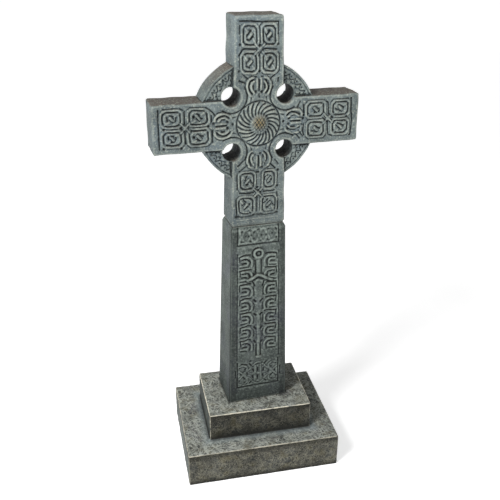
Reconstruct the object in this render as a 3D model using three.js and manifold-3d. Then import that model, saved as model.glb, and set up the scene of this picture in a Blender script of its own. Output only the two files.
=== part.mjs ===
// A garden cross moulded in stone resin: a ringed Celtic crosshead on a tapered shaft and a stepped base.
// Millimetres, +Z up. The front faces -Y, and the origin is the middle of the base's underside.

import * as THREE from 'three';
import { mergeVertices } from 'three/addons/utils/BufferGeometryUtils.js';
import Module from 'manifold-3d';

const wasm = await Module();
wasm.setup();

// Base: two steps cast as one
const lowerStepWidth = 266;
const lowerStepDepth = 201;
const lowerStepHeight = 62;
const upperStepWidth = 180;
const upperStepDepth = 130;
const upperStepHeight = 51;
const stepEdgeWear = 2;

// Shaft: tapers on all four sides, most of all at the back. Front and back are reaches from the plane
// through the middle of the head's depth.
const shaftFootWidth = 104;
const shaftFootFront = 29.35;
const shaftFootBack = 45.5;
const shaftTopWidth = 90;
const shaftTopFront = 26.85;
const shaftTopBack = 29.5;
const shaftHeight = 330.5;

// Crosshead: an upright that goes on tapering, and level arms
const headFootWidth = 88;
const headTopWidth = 71.4;
const headDepth = 49.2;
const headHeight = 316.5;
const armSpan = 319;
const armHeight = 72.8;
const cornerRadius = 3.5;

// Ring, the four holes through it and the boss at its centre, which lies this far above the head's foot
const ringCentreHeight = 163;
const ringRadius = 92.3;
const ringDepth = 41;
const holeRadius = 14;
const holeOffset = 41.3;
const collarWidth = 8.6;
const bossRadius = 32.5;
const bossRise = 3;
const domeRadius = 15.5;
const domeRise = 3;

// Worn arrises, and the groove all round between head and shaft
const arrisWear = 1.2;
const seamBevelWidth = 2.4;
const seamBevelHeight = 5;

// How the cross stands: each piece clear of the next, and the cross turned a little on its base
const seamGap = 0.3;
const crossTurnDegrees = 4.6;

// Carving: V-shaped grooves, and the plain border that frames each carved panel
const grooveWidth = 2.2;
const grooveDepth = 1.8;
const deepGrooveWidth = 3.4;
const deepGrooveDepth = 2.6;
const pitRadius = 1.9;
const headBorder = 8.6;
const headSideBorder = 10;
const headFootBorder = 15;
const footGrooveWidth = 5.4;
const shaftBorder = 13;
const shaftFootBand = 27;
const shaftKnotPanel = 50;
const shaftBand = 14;
const shaftTopBand = 16;
const shaftTopMargin = 4;
const plaitColumns = 5;
const plaitShare = 0.92;

// Key pattern of the shaft: lines and pits of one unit, and the hooded figure between its two sides
const fretLines = [
  [[0.88, 0.52], [0.88, 0.04], [0.34, 0]],
  [[0.44, 0.13], [0.34, 0.42], [0.34, 0.94]],
  [[0.5, 0.66], [0.67, 0.69]],
];
const fretEyes = [[0.62, 0.3], [0.16, 0.17]];
const figureHeadRadius = 6.6;
const figureHeadWidth = 5.2;
const figureNeckHalf = 3.4;
const figureShoulderHalf = 9.5;
const figureFootHalf = 2.4;
const hoodDrop = 36;
const hoodSlope = 9.5;
const hoodHalf = 20;
const hoodWidth = 5;
const fretUnits = 7;
const fluteCount = 22;
const fluteTurnDegrees = -22;

// Curves are drawn with this many steps a turn; cutters stand out of a face, and raised forms sink into it
const circleSteps = 48;
const cutLift = 1;
const raisedSink = 3;

const headMiddleUp = headHeight - ringCentreHeight;
const collarRadius = holeRadius + collarWidth;
const ringRecess = (headDepth - ringDepth) / 2;
const baseHeight = lowerStepHeight + upperStepHeight;
const shaftFretLow = shaftFootBand + shaftKnotPanel + shaftBand;
const shaftTopPanelHigh = shaftHeight - shaftTopMargin;
const shaftTopPanelLow = shaftTopPanelHigh - shaftKnotPanel / 2;
const shaftFretHigh = shaftTopPanelLow - shaftTopBand;
const fretPitch = (shaftFretHigh - shaftFretLow) / fretUnits;

// Knot panel of an arm: where it starts, and its four loops as shares of its half width and its length
const panelStart = 0.77 * ringRadius;
const loopRows = [0.245, 0.757];
const loopColumn = 0.5;
const loopHalfWidthShare = 0.345;
const loopHalfLengthShare = 0.172;
const loopCornerShare = 0.5;
const cushionLines = [[[0.12, 0.44], [-0.4, 0.04], [-0.42, -0.34]], [[-0.24, -0.52], [0.42, 0.06]]];

// Strands between the loops, and straps that run from the panel's inner corners past the collars:
// across as a share of the panel's half width, outward in mm from its middle or from its inner end
const panelStrands = [
  [[0.02, 6], [-0.14, 0], [-0.8, -0.5], [-1, -8]],
  [[0.9, -1.5], [0.2, -1.5], [0.02, -8.5]],
];
const panelStraps = [[[0.8, 0.5], [0.58, -4.5]], [[1, -5], [0.7, -11]]];

// Two hooked scrolls back to back on a stem, in mm from their own centre; the first line is the stem
const scrollCentre = 0.6 * ringRadius;
const scrollLines = [
  [[0, 10.5], [0, -5]],
  [[9.5, 9], [14, 3.5], [15, -1.5], [13, -7.5], [9.5, -11]],
  [[8.5, 2.5], [9.3, -2]],
  [[4.6, 15], [4.6, 4]],
];
const scrollEye = [4, -8];

// Ring: a line inside its rim, and two rows of pits, each as far in as a share of the ring's radius
const rimLineInset = 4.5;
const ringReachDegrees = 18;
const ringPitRows = [[0.9, [-12, -4, 4, 12]], [0.82, [-8, 0, 8]]];
const collarArcDegrees = 160;

// Joining and cutting

function toSolid(geometry) {
  const bare = geometry.clone();
  bare.deleteAttribute('normal');
  bare.deleteAttribute('uv');
  const merged = mergeVertices(bare, 1e-4);
  return new wasm.Manifold(new wasm.Mesh({
    numProp: 3,
    vertProperties: new Float32Array(merged.attributes.position.array),
    triVerts: new Uint32Array(merged.index.array),
  }));
}

function toGeometry(solid) {
  const mesh = solid.getMesh();
  const geometry = new THREE.BufferGeometry();
  geometry.setAttribute('position', new THREE.BufferAttribute(mesh.vertProperties, 3));
  geometry.setIndex(new THREE.BufferAttribute(mesh.triVerts, 1));
  geometry.computeVertexNormals();
  return geometry;
}

function joined(geometries) {
  return wasm.Manifold.union(geometries.map(toSolid));
}

// A closed skin over rings of points that all have the same count, from the lowest ring to the highest
function skin(rings) {
  const count = rings[0].length;
  const index = [];
  rings.slice(1).forEach((_, level) => {
    const low = level * count;
    const high = low + count;
    for (let i = 0; i < count; i += 1) {
      const next = (i + 1) % count;
      index.push(low + i, low + next, high + next, low + i, high + next, high + i);
    }
  });
  const top = (rings.length - 1) * count;
  for (let i = 1; i < count - 1; i += 1) {
    index.push(0, i + 1, i);
    index.push(top, top + i, top + i + 1);
  }
  const geometry = new THREE.BufferGeometry();
  geometry.setAttribute('position', new THREE.Float32BufferAttribute(rings.flat(2), 3));
  geometry.setIndex(index);
  return geometry;
}

// A four-sided block with worn corners; each level is its height, half width, and reach to front and back
function block(levels, wear) {
  return skin(levels.map(([z, x, front, back = front]) => [
    [x - wear, -front, z], [x, wear - front, z], [x, back - wear, z], [x - wear, back, z],
    [wear - x, back, z], [-x, back - wear, z], [-x, wear - front, z], [wear - x, -front, z],
  ]));
}

// Carving is drawn on a face: u to the right, v up, and a third number for how far a point stands out of it

function arc(u, v, radius, startDegrees, endDegrees, steps) {
  return Array.from({ length: steps + 1 }, (_, i) => {
    const [x, y] = polar(radius, THREE.MathUtils.lerp(startDegrees, endDegrees, i / steps));
    return [u + x, v + y];
  });
}

function polar(radius, degrees) {
  const angle = THREE.MathUtils.degToRad(degrees);
  return [radius * Math.cos(angle), radius * Math.sin(angle)];
}

function mirrored(points) {
  return points.map(([u, v]) => [-u, v]);
}

// A V-shaped cutter that follows a line of points, wide at the surface and sharp at its bottom
function groove(points, options = {}) {
  const { width = grooveWidth, depth = grooveDepth, closed = false, surface = () => 0 } = options;
  const count = points.length;
  const line = points.map(([u, v]) => new THREE.Vector2(u, v));
  const direction = (i) => line[(i + 1) % count].clone().sub(line[i]).normalize();
  const rings = line.map((point, i) => {
    const before = closed || i > 0 ? direction((i - 1 + count) % count) : direction(i);
    const after = closed || i < count - 1 ? direction(i) : before;
    const along = before.clone().add(after).normalize();
    const reach = width / 2 * (depth + cutLift) / depth / Math.max(along.dot(after), 0.5);
    const side = new THREE.Vector2(-along.y, along.x).multiplyScalar(reach);
    const top = surface(point.x, point.y);
    return [
      [point.x - side.x, point.y - side.y, top + cutLift],
      [point.x, point.y, top - depth],
      [point.x + side.x, point.y + side.y, top + cutLift],
    ];
  });
  if (!closed) return skin(rings);
  const geometry = skin([...rings, rings[0]]);
  const capTriangles = 2 * (rings[0].length - 2);
  geometry.setIndex(Array.from(geometry.index.array).slice(0, -3 * capTriangles));
  return geometry;
}

// A small pointed hollow where strands meet
function pit([u, v], { radius = pitRadius, depth = grooveDepth, surface = () => 0 } = {}) {
  const cone = new THREE.ConeGeometry(radius * (1 + cutLift / depth), depth + cutLift, 4);
  cone.rotateX(-Math.PI / 2);
  cone.translate(u, v, surface(u, v) + (cutLift - depth) / 2);
  return cone;
}

// A low raised form that follows the surface under it
function raised(shape, rise, surface, bevel = 1) {
  const geometry = new THREE.ExtrudeGeometry(shape, {
    depth: rise + raisedSink - bevel,
    bevelThickness: bevel,
    bevelSize: bevel,
    bevelOffset: -bevel,
    bevelSegments: 1,
    curveSegments: 4,
  });
  const position = geometry.attributes.position;
  for (let i = 0; i < position.count; i += 1) {
    const lift = surface(position.getX(i), position.getY(i));
    position.setZ(i, position.getZ(i) + lift - raisedSink);
  }
  return geometry;
}

// Puts a face drawing on the front or the back of a piece
function onFace(geometry, halfDepth, up, back) {
  geometry.rotateX(Math.PI / 2);
  geometry.translate(0, -halfDepth, up);
  return back ? geometry.rotateZ(Math.PI) : geometry;
}

function shapeOf(points) {
  return new THREE.Shape(points.map(([u, v]) => new THREE.Vector2(u, v)));
}

// An outline whose marked corners are rounded off
function roundedShape(corners, radius) {
  const shape = new THREE.Shape();
  corners.forEach(([u, v, rounded], i) => {
    const corner = new THREE.Vector2(u, v);
    const toward = (other) => new THREE.Vector2(other[0], other[1]).sub(corner).setLength(radius).add(corner);
    const entry = rounded ? toward(corners[(i - 1 + corners.length) % corners.length]) : corner;
    if (i === 0) shape.moveTo(entry.x, entry.y);
    else shape.lineTo(entry.x, entry.y);
    if (!rounded) return;
    const exit = toward(corners[(i + 1) % corners.length]);
    shape.quadraticCurveTo(corner.x, corner.y, exit.x, exit.y);
  });
  shape.closePath();
  return shape;
}

// One loop of a knot panel, with a slanting cushion inside it
function loopCarving(at, halfWidth, halfLength, plain) {
  const corner = halfWidth * loopCornerShare;
  const half = plain ? [[halfWidth, -halfLength], [halfWidth, halfLength]] : [
    [halfWidth - corner, -halfLength], [halfWidth, corner - halfLength],
    [halfWidth, halfLength - corner], [halfWidth - corner, halfLength],
  ];
  const outline = groove([...half, ...mirrored(half).reverse()].map(at), { closed: true });
  if (plain) return [outline];
  const share = ([x, y]) => at([x * halfWidth, y * halfLength]);
  const cushion = cushionLines.map((points) => points.map(share));
  return [outline, ...cushion.map((points) => groove(points)), pit(cushion[0][0])];
}

// One arm's carving, drawn across and outward from the centre of the ring, then turned to its arm
function armCarving({ turnDegrees, reach, halfWidth, border, endWidth = deepGrooveWidth }, plain) {
  const turn = THREE.MathUtils.degToRad(turnDegrees);
  const place = ([t, s]) => [
    t * Math.cos(turn) - s * Math.sin(turn),
    t * Math.sin(turn) + s * Math.cos(turn),
  ];
  const cutters = [];
  const draw = (points, options) => cutters.push(groove(points.map(place), options));
  const side = halfWidth - headBorder;
  const end = reach - border;
  const length = end - panelStart;
  const rows = loopRows.map((share) => panelStart + share * length);
  const loopHalfLength = loopHalfLengthShare * length;
  rows.forEach((s) => [-1, 1].forEach((sign) => {
    const at = ([x, y]) => place([sign * loopColumn * side + x, s + y]);
    cutters.push(...loopCarving(at, loopHalfWidthShare * side, loopHalfLength, plain));
  }));
  draw([[-side, end], [side, end]], { width: endWidth, depth: deepGrooveDepth });
  if (plain) return cutters;

  const middle = (rows[0] + rows[1]) / 2;
  const gap = pitRadius * 3;
  panelStrands.forEach((points) => draw(points.map(([share, s]) => [share * side, middle + s])));
  draw([[side, end - gap / 2], [side, middle + gap]]);
  draw([[side, middle - gap], [side, panelStart + gap]]);
  draw([[-side, end - gap], [-side, middle + 1.5 * gap]]);
  const hollows = [
    [0, rows[1] + loopHalfLength], [0, rows[0] - loopHalfLength],
    [-side, middle + gap], [-side, panelStart + gap],
  ];
  hollows.forEach((point) => cutters.push(pit(place(point))));

  panelStraps.forEach((points) => {
    const strap = points.map(([share, s]) => [share * side, panelStart + s]);
    draw(strap);
    draw(mirrored(strap));
  });
  scrollLines.forEach((points, i) => {
    const scroll = points.map(([t, s]) => [t, scrollCentre + s]);
    draw(scroll);
    if (i > 0) draw(mirrored(scroll));
  });
  [-1, 1].forEach((sign) => cutters.push(pit(place([sign * scrollEye[0], scrollCentre + scrollEye[1]]))));
  return cutters;
}

// The boss: a low round swell with swirling flutes, and a dome in the middle of it
function bossHeight(radius) {
  if (radius > bossRadius) return 0;
  const swell = Math.min((bossRadius - radius) / (bossRadius - domeRadius), 1);
  const inside = radius < domeRadius ? domeRise * Math.sqrt(1 - (radius / domeRadius) ** 2) : 0;
  return bossRise * Math.sin(swell * Math.PI / 2) + inside;
}

function boss() {
  const radii = [bossRadius, 0.75 * bossRadius, 1.01 * domeRadius, 0.9 * domeRadius, 0.55 * domeRadius, 0];
  const profile = [[0, -raisedSink], [bossRadius, -raisedSink]];
  radii.forEach((radius) => profile.push([radius, bossHeight(radius)]));
  const geometry = new THREE.LatheGeometry(profile.map(([x, y]) => new THREE.Vector2(x, y)), circleSteps / 2);
  return geometry.rotateX(Math.PI / 2);
}

function flutes() {
  const surface = (u, v) => bossHeight(Math.hypot(u, v));
  return Array.from({ length: fluteCount }, (_, i) => {
    const startDegrees = 360 * i / fluteCount;
    const points = [0, 0.5, 1].map((share) => {
      const radius = THREE.MathUtils.lerp(domeRadius + grooveWidth / 2, bossRadius - grooveWidth / 2, share);
      return polar(radius, startDegrees + fluteTurnDegrees * share);
    });
    return groove(points, { surface });
  });
}

// Groove round the boss, arcs round the inner side of each collar, and the ring's rim line and pits
function roundCarving(plain) {
  const turnSteps = circleSteps / 2;
  const stepDegrees = 360 / turnSteps;
  const round = arc(0, 0, bossRadius + grooveWidth / 2, 0, 360 - stepDegrees, turnSteps - 1);
  const cutters = [groove(round, { closed: true })];
  const surface = () => -ringRecess;
  [45, 135, 225, 315].forEach((degrees) => {
    const [u, v] = polar(holeOffset * Math.SQRT2, degrees);
    const inward = degrees + 180;
    const collarStart = inward - collarArcDegrees / 2;
    cutters.push(groove(arc(u, v, collarRadius, collarStart, collarStart + collarArcDegrees, 8)));
    const rimRadius = ringRadius - rimLineInset;
    const rim = arc(0, 0, rimRadius, degrees - ringReachDegrees, degrees + ringReachDegrees, 5);
    cutters.push(groove(rim, { surface }));
    if (plain) return;
    ringPitRows.forEach(([share, offsets]) => offsets.forEach((offset) => {
      cutters.push(pit(polar(share * ringRadius, degrees + offset), { surface }));
    }));
  });
  return cutters;
}

// Crosshead

function headHalfWidth(up) {
  return THREE.MathUtils.lerp(headFootWidth, headTopWidth, up / headHeight) / 2;
}

function crosshead() {
  const armLow = ringCentreHeight - armHeight / 2;
  const armHigh = ringCentreHeight + armHeight / 2;
  const half = [
    [headHalfWidth(0), 0, false],
    [headHalfWidth(armLow), armLow, false],
    [armSpan / 2, armLow, true],
    [armSpan / 2, armHigh, true],
    [headHalfWidth(armHigh), armHigh, false],
    [headHalfWidth(headHeight), headHeight, true],
  ];
  const outline = [...half, ...half.map(([u, v, rounded]) => [-u, v, rounded]).reverse()]
    .map(([u, v, rounded]) => [u, v - ringCentreHeight, rounded]);
  const slab = (shape, depth, curveSegments) => new THREE.ExtrudeGeometry(shape, {
    depth: depth - 2 * arrisWear,
    bevelThickness: arrisWear,
    bevelSize: arrisWear,
    bevelOffset: -arrisWear,
    bevelSegments: 1,
    curveSegments,
  }).translate(0, 0, arrisWear - depth / 2);
  const disc = (u, v, radius) => new THREE.Shape().absarc(u, v, radius, 0, 2 * Math.PI);
  const corners = [[1, 1], [-1, 1], [-1, -1], [1, -1]].map(([x, y]) => [x * holeOffset, y * holeOffset]);
  const body = joined([
    slab(roundedShape(outline, cornerRadius), headDepth, 3),
    slab(disc(0, 0, ringRadius), ringDepth, circleSteps / 2),
    ...corners.map(([u, v]) => slab(disc(u, v, collarRadius), headDepth, circleSteps / 4)),
  ]);

  const holes = corners.map(([u, v]) => {
    const hole = new THREE.CylinderGeometry(holeRadius, holeRadius, 2 * headDepth, circleSteps / 2);
    return hole.rotateX(Math.PI / 2).translate(u, v, 0);
  });
  // A collar has the head's full depth only inside the cross; between the arms the ring's lower face
  // runs up to the hole
  const recess = new THREE.BoxGeometry(ringRadius, ringRadius, ringRecess * 2);
  const recesses = corners.flatMap(([u, v]) => [-1, 1].map((face) => {
    const middleU = headHalfWidth(ringCentreHeight + v) + arrisWear + ringRadius / 2;
    const middleV = armHeight / 2 + arrisWear + ringRadius / 2;
    return recess.clone().translate(Math.sign(u) * middleU, Math.sign(v) * middleV, face * headDepth / 2);
  }));
  const bossSolids = [false, true].map((back) => onFace(boss(), headDepth / 2, 0, back));
  const upright = body.subtract(joined(holes)).subtract(joined(recesses));
  const shaped = toGeometry(upright).rotateX(Math.PI / 2);

  const upperHalf = headHalfWidth(headHeight - headMiddleUp / 3);
  const lowerHalf = headHalfWidth(ringCentreHeight / 3);
  const sideArm = { reach: armSpan / 2, halfWidth: armHeight / 2, border: headSideBorder };
  const arms = [
    { turnDegrees: 0, reach: headMiddleUp, halfWidth: upperHalf, border: headBorder },
    {
      turnDegrees: 180,
      reach: ringCentreHeight,
      halfWidth: lowerHalf,
      border: headFootBorder,
      endWidth: footGrooveWidth,
    },
    { turnDegrees: 90, ...sideArm },
    { turnDegrees: -90, ...sideArm },
  ];
  const carving = [false, true].flatMap((back) => [
    ...arms.flatMap((arm) => armCarving(arm, back)),
    ...roundCarving(back),
    ...(back ? [] : flutes()),
  ].map((cutter) => onFace(cutter, headDepth / 2, 0, back)));

  // The head's foot is bevelled inward all round: what lies outside a widening block is cut away
  const seam = new THREE.BoxGeometry(2 * headFootWidth, 2 * headDepth, 2 * seamBevelHeight)
    .translate(0, 0, -ringCentreHeight);
  const bevelAt = (up) => {
    const inset = seamBevelWidth * (1 - up / seamBevelHeight);
    return [up - ringCentreHeight, headHalfWidth(Math.max(up, 0)) - inset, headDepth / 2 - inset];
  };
  const foot = block([bevelAt(-2 * seamBevelHeight), bevelAt(2 * seamBevelHeight)], arrisWear);
  const seamCut = toSolid(seam).subtract(toSolid(foot));
  return toGeometry(toSolid(shaped).add(joined(bossSolids)).subtract(joined(carving)).subtract(seamCut));
}

// Shaft

function shaftHalfWidth(up) {
  return THREE.MathUtils.lerp(shaftFootWidth, shaftTopWidth, up / shaftHeight) / 2;
}

function shaftCarving(surface, plain) {
  const cutters = [];
  const panelAt = (up) => shaftHalfWidth(up) - shaftBorder;
  const knotTop = shaftFootBand + shaftKnotPanel;
  const draw = (points, options) => cutters.push(groove(points, { surface, ...options }));
  const across = (up) => [[-panelAt(up), up], [panelAt(up), up]];
  if (plain) {
    const panels = [
      [shaftFootBand, knotTop],
      [shaftFretLow, shaftFretHigh],
      [shaftTopPanelLow, shaftTopPanelHigh],
    ];
    panels.forEach(([low, high]) => {
      draw([...across(low), ...across(high).reverse()], { closed: true, width: deepGrooveWidth });
    });
    return cutters;
  }

  // Key-pattern loops climb both sides of the figure. Their lines go across as shares of the panel's half
  // width, and down from the top of the unit as shares of the pitch.
  for (let unit = 0; unit < fretUnits; unit += 1) {
    const top = shaftFretHigh - unit * fretPitch;
    const at = ([share, down]) => [share * panelAt(top), top - down * fretPitch];
    fretLines.forEach((points) => {
      draw(points.map(at));
      draw(mirrored(points.map(at)));
    });
    const eyes = fretEyes.slice(0, unit > 0 ? 2 : 1).map(at);
    [...eyes, ...mirrored(eyes)].forEach((eye) => cutters.push(pit(eye, { surface })));
  }

  // Plaited panels at the foot and the top: rows of pits between the strands, and a frame on three sides
  const plait = (low, high, rows) => {
    for (let r = 0; r < rows; r += 1) {
      const up = THREE.MathUtils.lerp(low, high, (r + 0.5) / rows);
      const shift = r % 2 ? 0 : 0.5;
      for (let c = shift; c <= plaitColumns - shift; c += 1) {
        cutters.push(pit([(2 * c / plaitColumns - 1) * plaitShare * panelAt(up), up], { surface }));
      }
    }
    draw(across(low), { width: deepGrooveWidth });
    const upright = [[panelAt(low), low], [panelAt(high), high]];
    draw(upright);
    draw(mirrored(upright));
  };
  plait(shaftFootBand, knotTop, 4);
  plait(shaftTopPanelLow, shaftTopPanelHigh, 3);
  return cutters;
}

// The hooded figure in the middle of the shaft: a ring for a head, a stem, a peaked hood, a tapering body
function shaftFigure(surface) {
  const headUp = shaftFretHigh - cutLift;
  const head = new THREE.TorusGeometry(figureHeadRadius, figureHeadWidth / 2, 6, 16)
    .translate(0, headUp, surface(0, headUp));
  const peakUp = shaftFretHigh - hoodDrop;
  const around = (half) => shapeOf([...half, ...mirrored(half.filter(([u]) => u > 0)).reverse()]);
  const stem = around([[figureNeckHalf, peakUp], [figureNeckHalf, headUp - figureHeadRadius]]);
  const eaves = peakUp - hoodSlope;
  const hood = around([
    [0, peakUp - hoodWidth], [hoodHalf, eaves - hoodWidth], [hoodHalf, eaves], [0, peakUp],
  ]);
  const body = around([
    [figureFootHalf, shaftFretLow + fretPitch * 0.1], [figureNeckHalf, shaftFretLow + fretPitch * 3.5],
    [figureShoulderHalf, eaves], [0, peakUp - hoodWidth],
  ]);
  return [head, raised(stem, 1.2, surface), raised(hood, 2.4, surface), raised(body, 1, surface)];
}

function shaft() {
  const shoulder = shaftHeight - seamBevelHeight;
  const atShoulder = (foot, top) => THREE.MathUtils.lerp(foot, top, shoulder / shaftHeight);
  const shoulderFront = atShoulder(shaftFootFront, shaftTopFront);
  const shoulderBack = atShoulder(shaftFootBack, shaftTopBack);
  const inset = seamBevelWidth;
  const body = block([
    [0, shaftFootWidth / 2, shaftFootFront, shaftFootBack],
    [shoulder, shaftHalfWidth(shoulder), shoulderFront, shoulderBack],
    [shaftHeight, shaftTopWidth / 2 - inset, shaftTopFront - inset, shaftTopBack - inset],
  ], arrisWear);
  const frontFace = (u, v) => (shaftTopFront - shaftFootFront) * v / shaftHeight;
  const backFace = (u, v) => (shaftTopBack - shaftFootBack) * v / shaftHeight;
  const figure = shaftFigure(frontFace).map((form) => onFace(form, shaftFootFront, 0, false));
  const carving = [
    ...shaftCarving(frontFace, false).map((cutter) => onFace(cutter, shaftFootFront, 0, false)),
    ...shaftCarving(backFace, true).map((cutter) => onFace(cutter, shaftFootBack, 0, true)),
  ];
  return toGeometry(toSolid(body).subtract(joined(carving)).add(joined(figure)));
}

// Base

function steppedBase() {
  const step = (low, width, depth, height) => block([
    [low, width / 2, depth / 2],
    [low + height - stepEdgeWear, width / 2, depth / 2],
    [low + height, width / 2 - stepEdgeWear, depth / 2 - stepEdgeWear],
  ], stepEdgeWear);
  return toGeometry(joined([
    step(0, lowerStepWidth, lowerStepDepth, lowerStepHeight),
    step(lowerStepHeight / 2, upperStepWidth, upperStepDepth, lowerStepHeight / 2 + upperStepHeight),
  ]));
}

// Assembly

const crossStone = new THREE.MeshStandardMaterial({ color: '#7b8280', roughness: 0.82, metalness: 0 });
const shaftStone = new THREE.MeshStandardMaterial({ color: '#5f6562', roughness: 0.82, metalness: 0 });
const baseStone = new THREE.MeshStandardMaterial({ color: '#67645a', roughness: 0.75, metalness: 0 });

function piece(name, geometry, material, up) {
  const mesh = new THREE.Mesh(geometry, material);
  mesh.name = name;
  mesh.position.z = up;
  return mesh;
}

const cross = new THREE.Group();
cross.rotation.z = THREE.MathUtils.degToRad(crossTurnDegrees);
const shaftUp = baseHeight + seamGap;
const headUp = shaftUp + shaftHeight + seamGap + ringCentreHeight;
cross.add(piece('shaft', shaft(), shaftStone, shaftUp));
cross.add(piece('cross_head', crosshead(), crossStone, headUp));

const gravestone = new THREE.Group();
gravestone.add(piece('stepped_base', steppedBase(), baseStone, 0));
gravestone.add(cross);

export default gravestone;
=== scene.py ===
# %% [markdown]
# # A ringed garden cross in weathered stone resin
#
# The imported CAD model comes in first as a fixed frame. Three pieces are then modelled over it, each as one
# closed skin: the crosshead, the shaft and the stepped base. Lengths are worked out in millimetres, as on
# the CAD side, and turned into metres where a mesh is made.

# %% Load the frame
import math
from functools import partial

import bpy
import numpy as np
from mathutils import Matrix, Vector
from mathutils.geometry import delaunay_2d_cdt


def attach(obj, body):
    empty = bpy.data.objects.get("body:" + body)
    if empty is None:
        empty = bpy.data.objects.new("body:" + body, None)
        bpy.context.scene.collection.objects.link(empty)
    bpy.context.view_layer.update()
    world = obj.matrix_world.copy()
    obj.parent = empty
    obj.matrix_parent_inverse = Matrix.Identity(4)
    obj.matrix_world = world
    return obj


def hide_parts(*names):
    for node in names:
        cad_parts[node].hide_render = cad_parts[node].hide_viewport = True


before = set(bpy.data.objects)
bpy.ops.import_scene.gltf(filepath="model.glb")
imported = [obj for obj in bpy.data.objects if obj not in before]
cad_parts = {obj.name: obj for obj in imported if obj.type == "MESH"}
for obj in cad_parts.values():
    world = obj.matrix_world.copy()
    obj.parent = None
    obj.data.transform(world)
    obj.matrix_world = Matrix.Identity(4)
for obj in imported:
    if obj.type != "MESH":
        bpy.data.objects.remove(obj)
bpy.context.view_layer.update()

# %% [markdown]
# ## Sizes
#
# These are the sizes of the CAD model, and the places of its pieces. The cross is turned a little on its
# base, as in the photograph.

# %% Sizes in mm
MM = 0.001

base_lower = {"width": 266.0, "depth": 201.0, "height": 62.0}
base_upper = {"width": 180.0, "depth": 130.0, "height": 51.0}
base_height = base_lower["height"] + base_upper["height"]

shaft_foot = {"half": 52.0, "front": 29.35, "back": 45.5}
shaft_top = {"half": 45.0, "front": 26.85, "back": 29.5}
shaft_height = 330.5
shaft_up = base_height + 0.3

head_foot_half = 44.0
head_top_half = 35.7
head_half_depth = 24.6
head_height = 316.5
arm_reach = 159.5
arm_half_height = 36.4
corner_radius = 3.5
ring_up = 163.0
ring_radius = 92.3
ring_recess = 4.1
hole_radius = 14.0
hole_offset = 41.3
collar_radius = 22.6
boss_radius = 32.5
dome_radius = 15.5
head_up = shaft_up + shaft_height + 0.3 + ring_up

arris = 1.2
seam_inset = 2.4
seam_height = 5.0
cross_turn = math.radians(4.6)

head_top = head_height - ring_up
hole_centres = [(su * hole_offset, sv * hole_offset) for su in (-1, 1) for sv in (-1, 1)]
print("ring centre stands at", round(head_up, 1), "mm")

# %% [markdown]
# ## The camera
#
# The camera stands where a fit to the photograph's corners puts it: about a metre away, to the left, and
# looking down by 25 degrees. It comes first, so that everything else can be judged through it.

# %% Camera
camera_place = (-0.2144, -0.9897, 0.8615)
looks_down, rolls, turns_right = math.radians(24.99), math.radians(0.08), math.radians(11.85)
camera_data = bpy.data.cameras.new("camera")
camera_data.sensor_width = 36.0
camera_data.lens = 48.75
camera = bpy.data.objects.new("camera", camera_data)
bpy.context.collection.objects.link(camera)
camera.location = camera_place
camera.rotation_euler = (math.radians(90) - looks_down, -rolls, -turns_right)
bpy.context.scene.camera = camera
print("camera looks from", tuple(round(value, 3) for value in camera.location))

# %% [markdown]
# ## Carving tools
#
# The carving is low relief on flat faces. The sculptor's way is to draw every strand on the face and to cut
# along the lines. Here each cut is a stroke: a line of points with a width and a depth. A point of the face
# sinks by its distance from the strokes, with a narrow bottom and soft shoulders, so that the strands
# between two strokes come out pillowed. Where strokes cross, the deeper one counts, as with a real tool.

# %% Strokes


def curve(points, closed=False, steps=5):
    """A smooth line through the points."""
    points = np.array(points, dtype=float)
    if len(points) < 3 and not closed:
        return points
    if closed:
        padded = np.vstack([points[-1], points, points[:2]])
    else:
        padded = np.vstack([2 * points[0] - points[1], points, 2 * points[-1] - points[-2]])
    line = []
    for before, start, end, after in zip(padded, padded[1:], padded[2:], padded[3:]):
        for t in np.arange(steps) / steps:
            line.append(0.5 * (2 * start + (end - before) * t
                               + (2 * before - 5 * start + 4 * end - after) * t ** 2
                               + (3 * start - before - 3 * end + after) * t ** 3))
    if not closed:
        line.append(points[-1])
    return np.array(line)


def distance_to_line(points, line, closed=False):
    line = np.asarray(line, dtype=float)
    ends = np.roll(line, -1, axis=0) if closed else line[1:]
    nearest = np.full(len(points), 1e9)
    for start, end in zip(line, ends):
        along = end - start
        share = np.clip((points - start) @ along / max(along @ along, 1e-9), 0, 1)
        away = points - start - share[:, None] * along
        nearest = np.minimum(nearest, np.hypot(away[:, 0], away[:, 1]))
    return nearest


class Relief:
    """The height of a carved face over its plane, in mm, at a list of points on it."""

    def __init__(self, points):
        self.points = np.asarray(points, dtype=float)
        self.cut = np.zeros(len(self.points))
        self.rise = np.zeros(len(self.points))
        self.open = np.ones(len(self.points), dtype=bool)

    def near(self, line, reach):
        line = np.asarray(line, dtype=float)
        low = line.min(axis=0) - reach
        high = line.max(axis=0) + reach
        return np.flatnonzero(self.open & np.all((self.points > low) & (self.points < high), axis=1))

    def groove(self, line, width=2.2, depth=1.8, closed=False, shoulder=0.5):
        spread = width / 2
        index = self.near(line, 6 * spread)
        distance = distance_to_line(self.points[index], line, closed)
        profile = np.exp(-(distance / spread) ** 2) + shoulder * np.exp(-(distance / (2.8 * spread)) ** 2)
        self.cut[index] = np.maximum(self.cut[index], depth * profile / (1 + shoulder))

    def pit(self, place, radius=1.9, depth=1.9):
        self.groove([place, place], width=2 * radius, depth=depth, shoulder=0.15)

    def ridge(self, line, width=4.0, rise=0.8, closed=False):
        spread = width / 2
        index = self.near(line, 3 * spread)
        distance = distance_to_line(self.points[index], line, closed)
        swell = rise * np.sqrt(np.clip(1 - (distance / spread) ** 2, 0, 1))
        self.rise[index] = np.maximum(self.rise[index], swell)

    def height(self):
        return self.rise - self.cut


def turned(points, degrees):
    angle = math.radians(degrees)
    points = np.asarray(points, dtype=float)
    return points @ np.array([[math.cos(angle), math.sin(angle)], [-math.sin(angle), math.cos(angle)]])


def flipped(points):
    return np.asarray(points, dtype=float) * (-1, 1)


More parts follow.
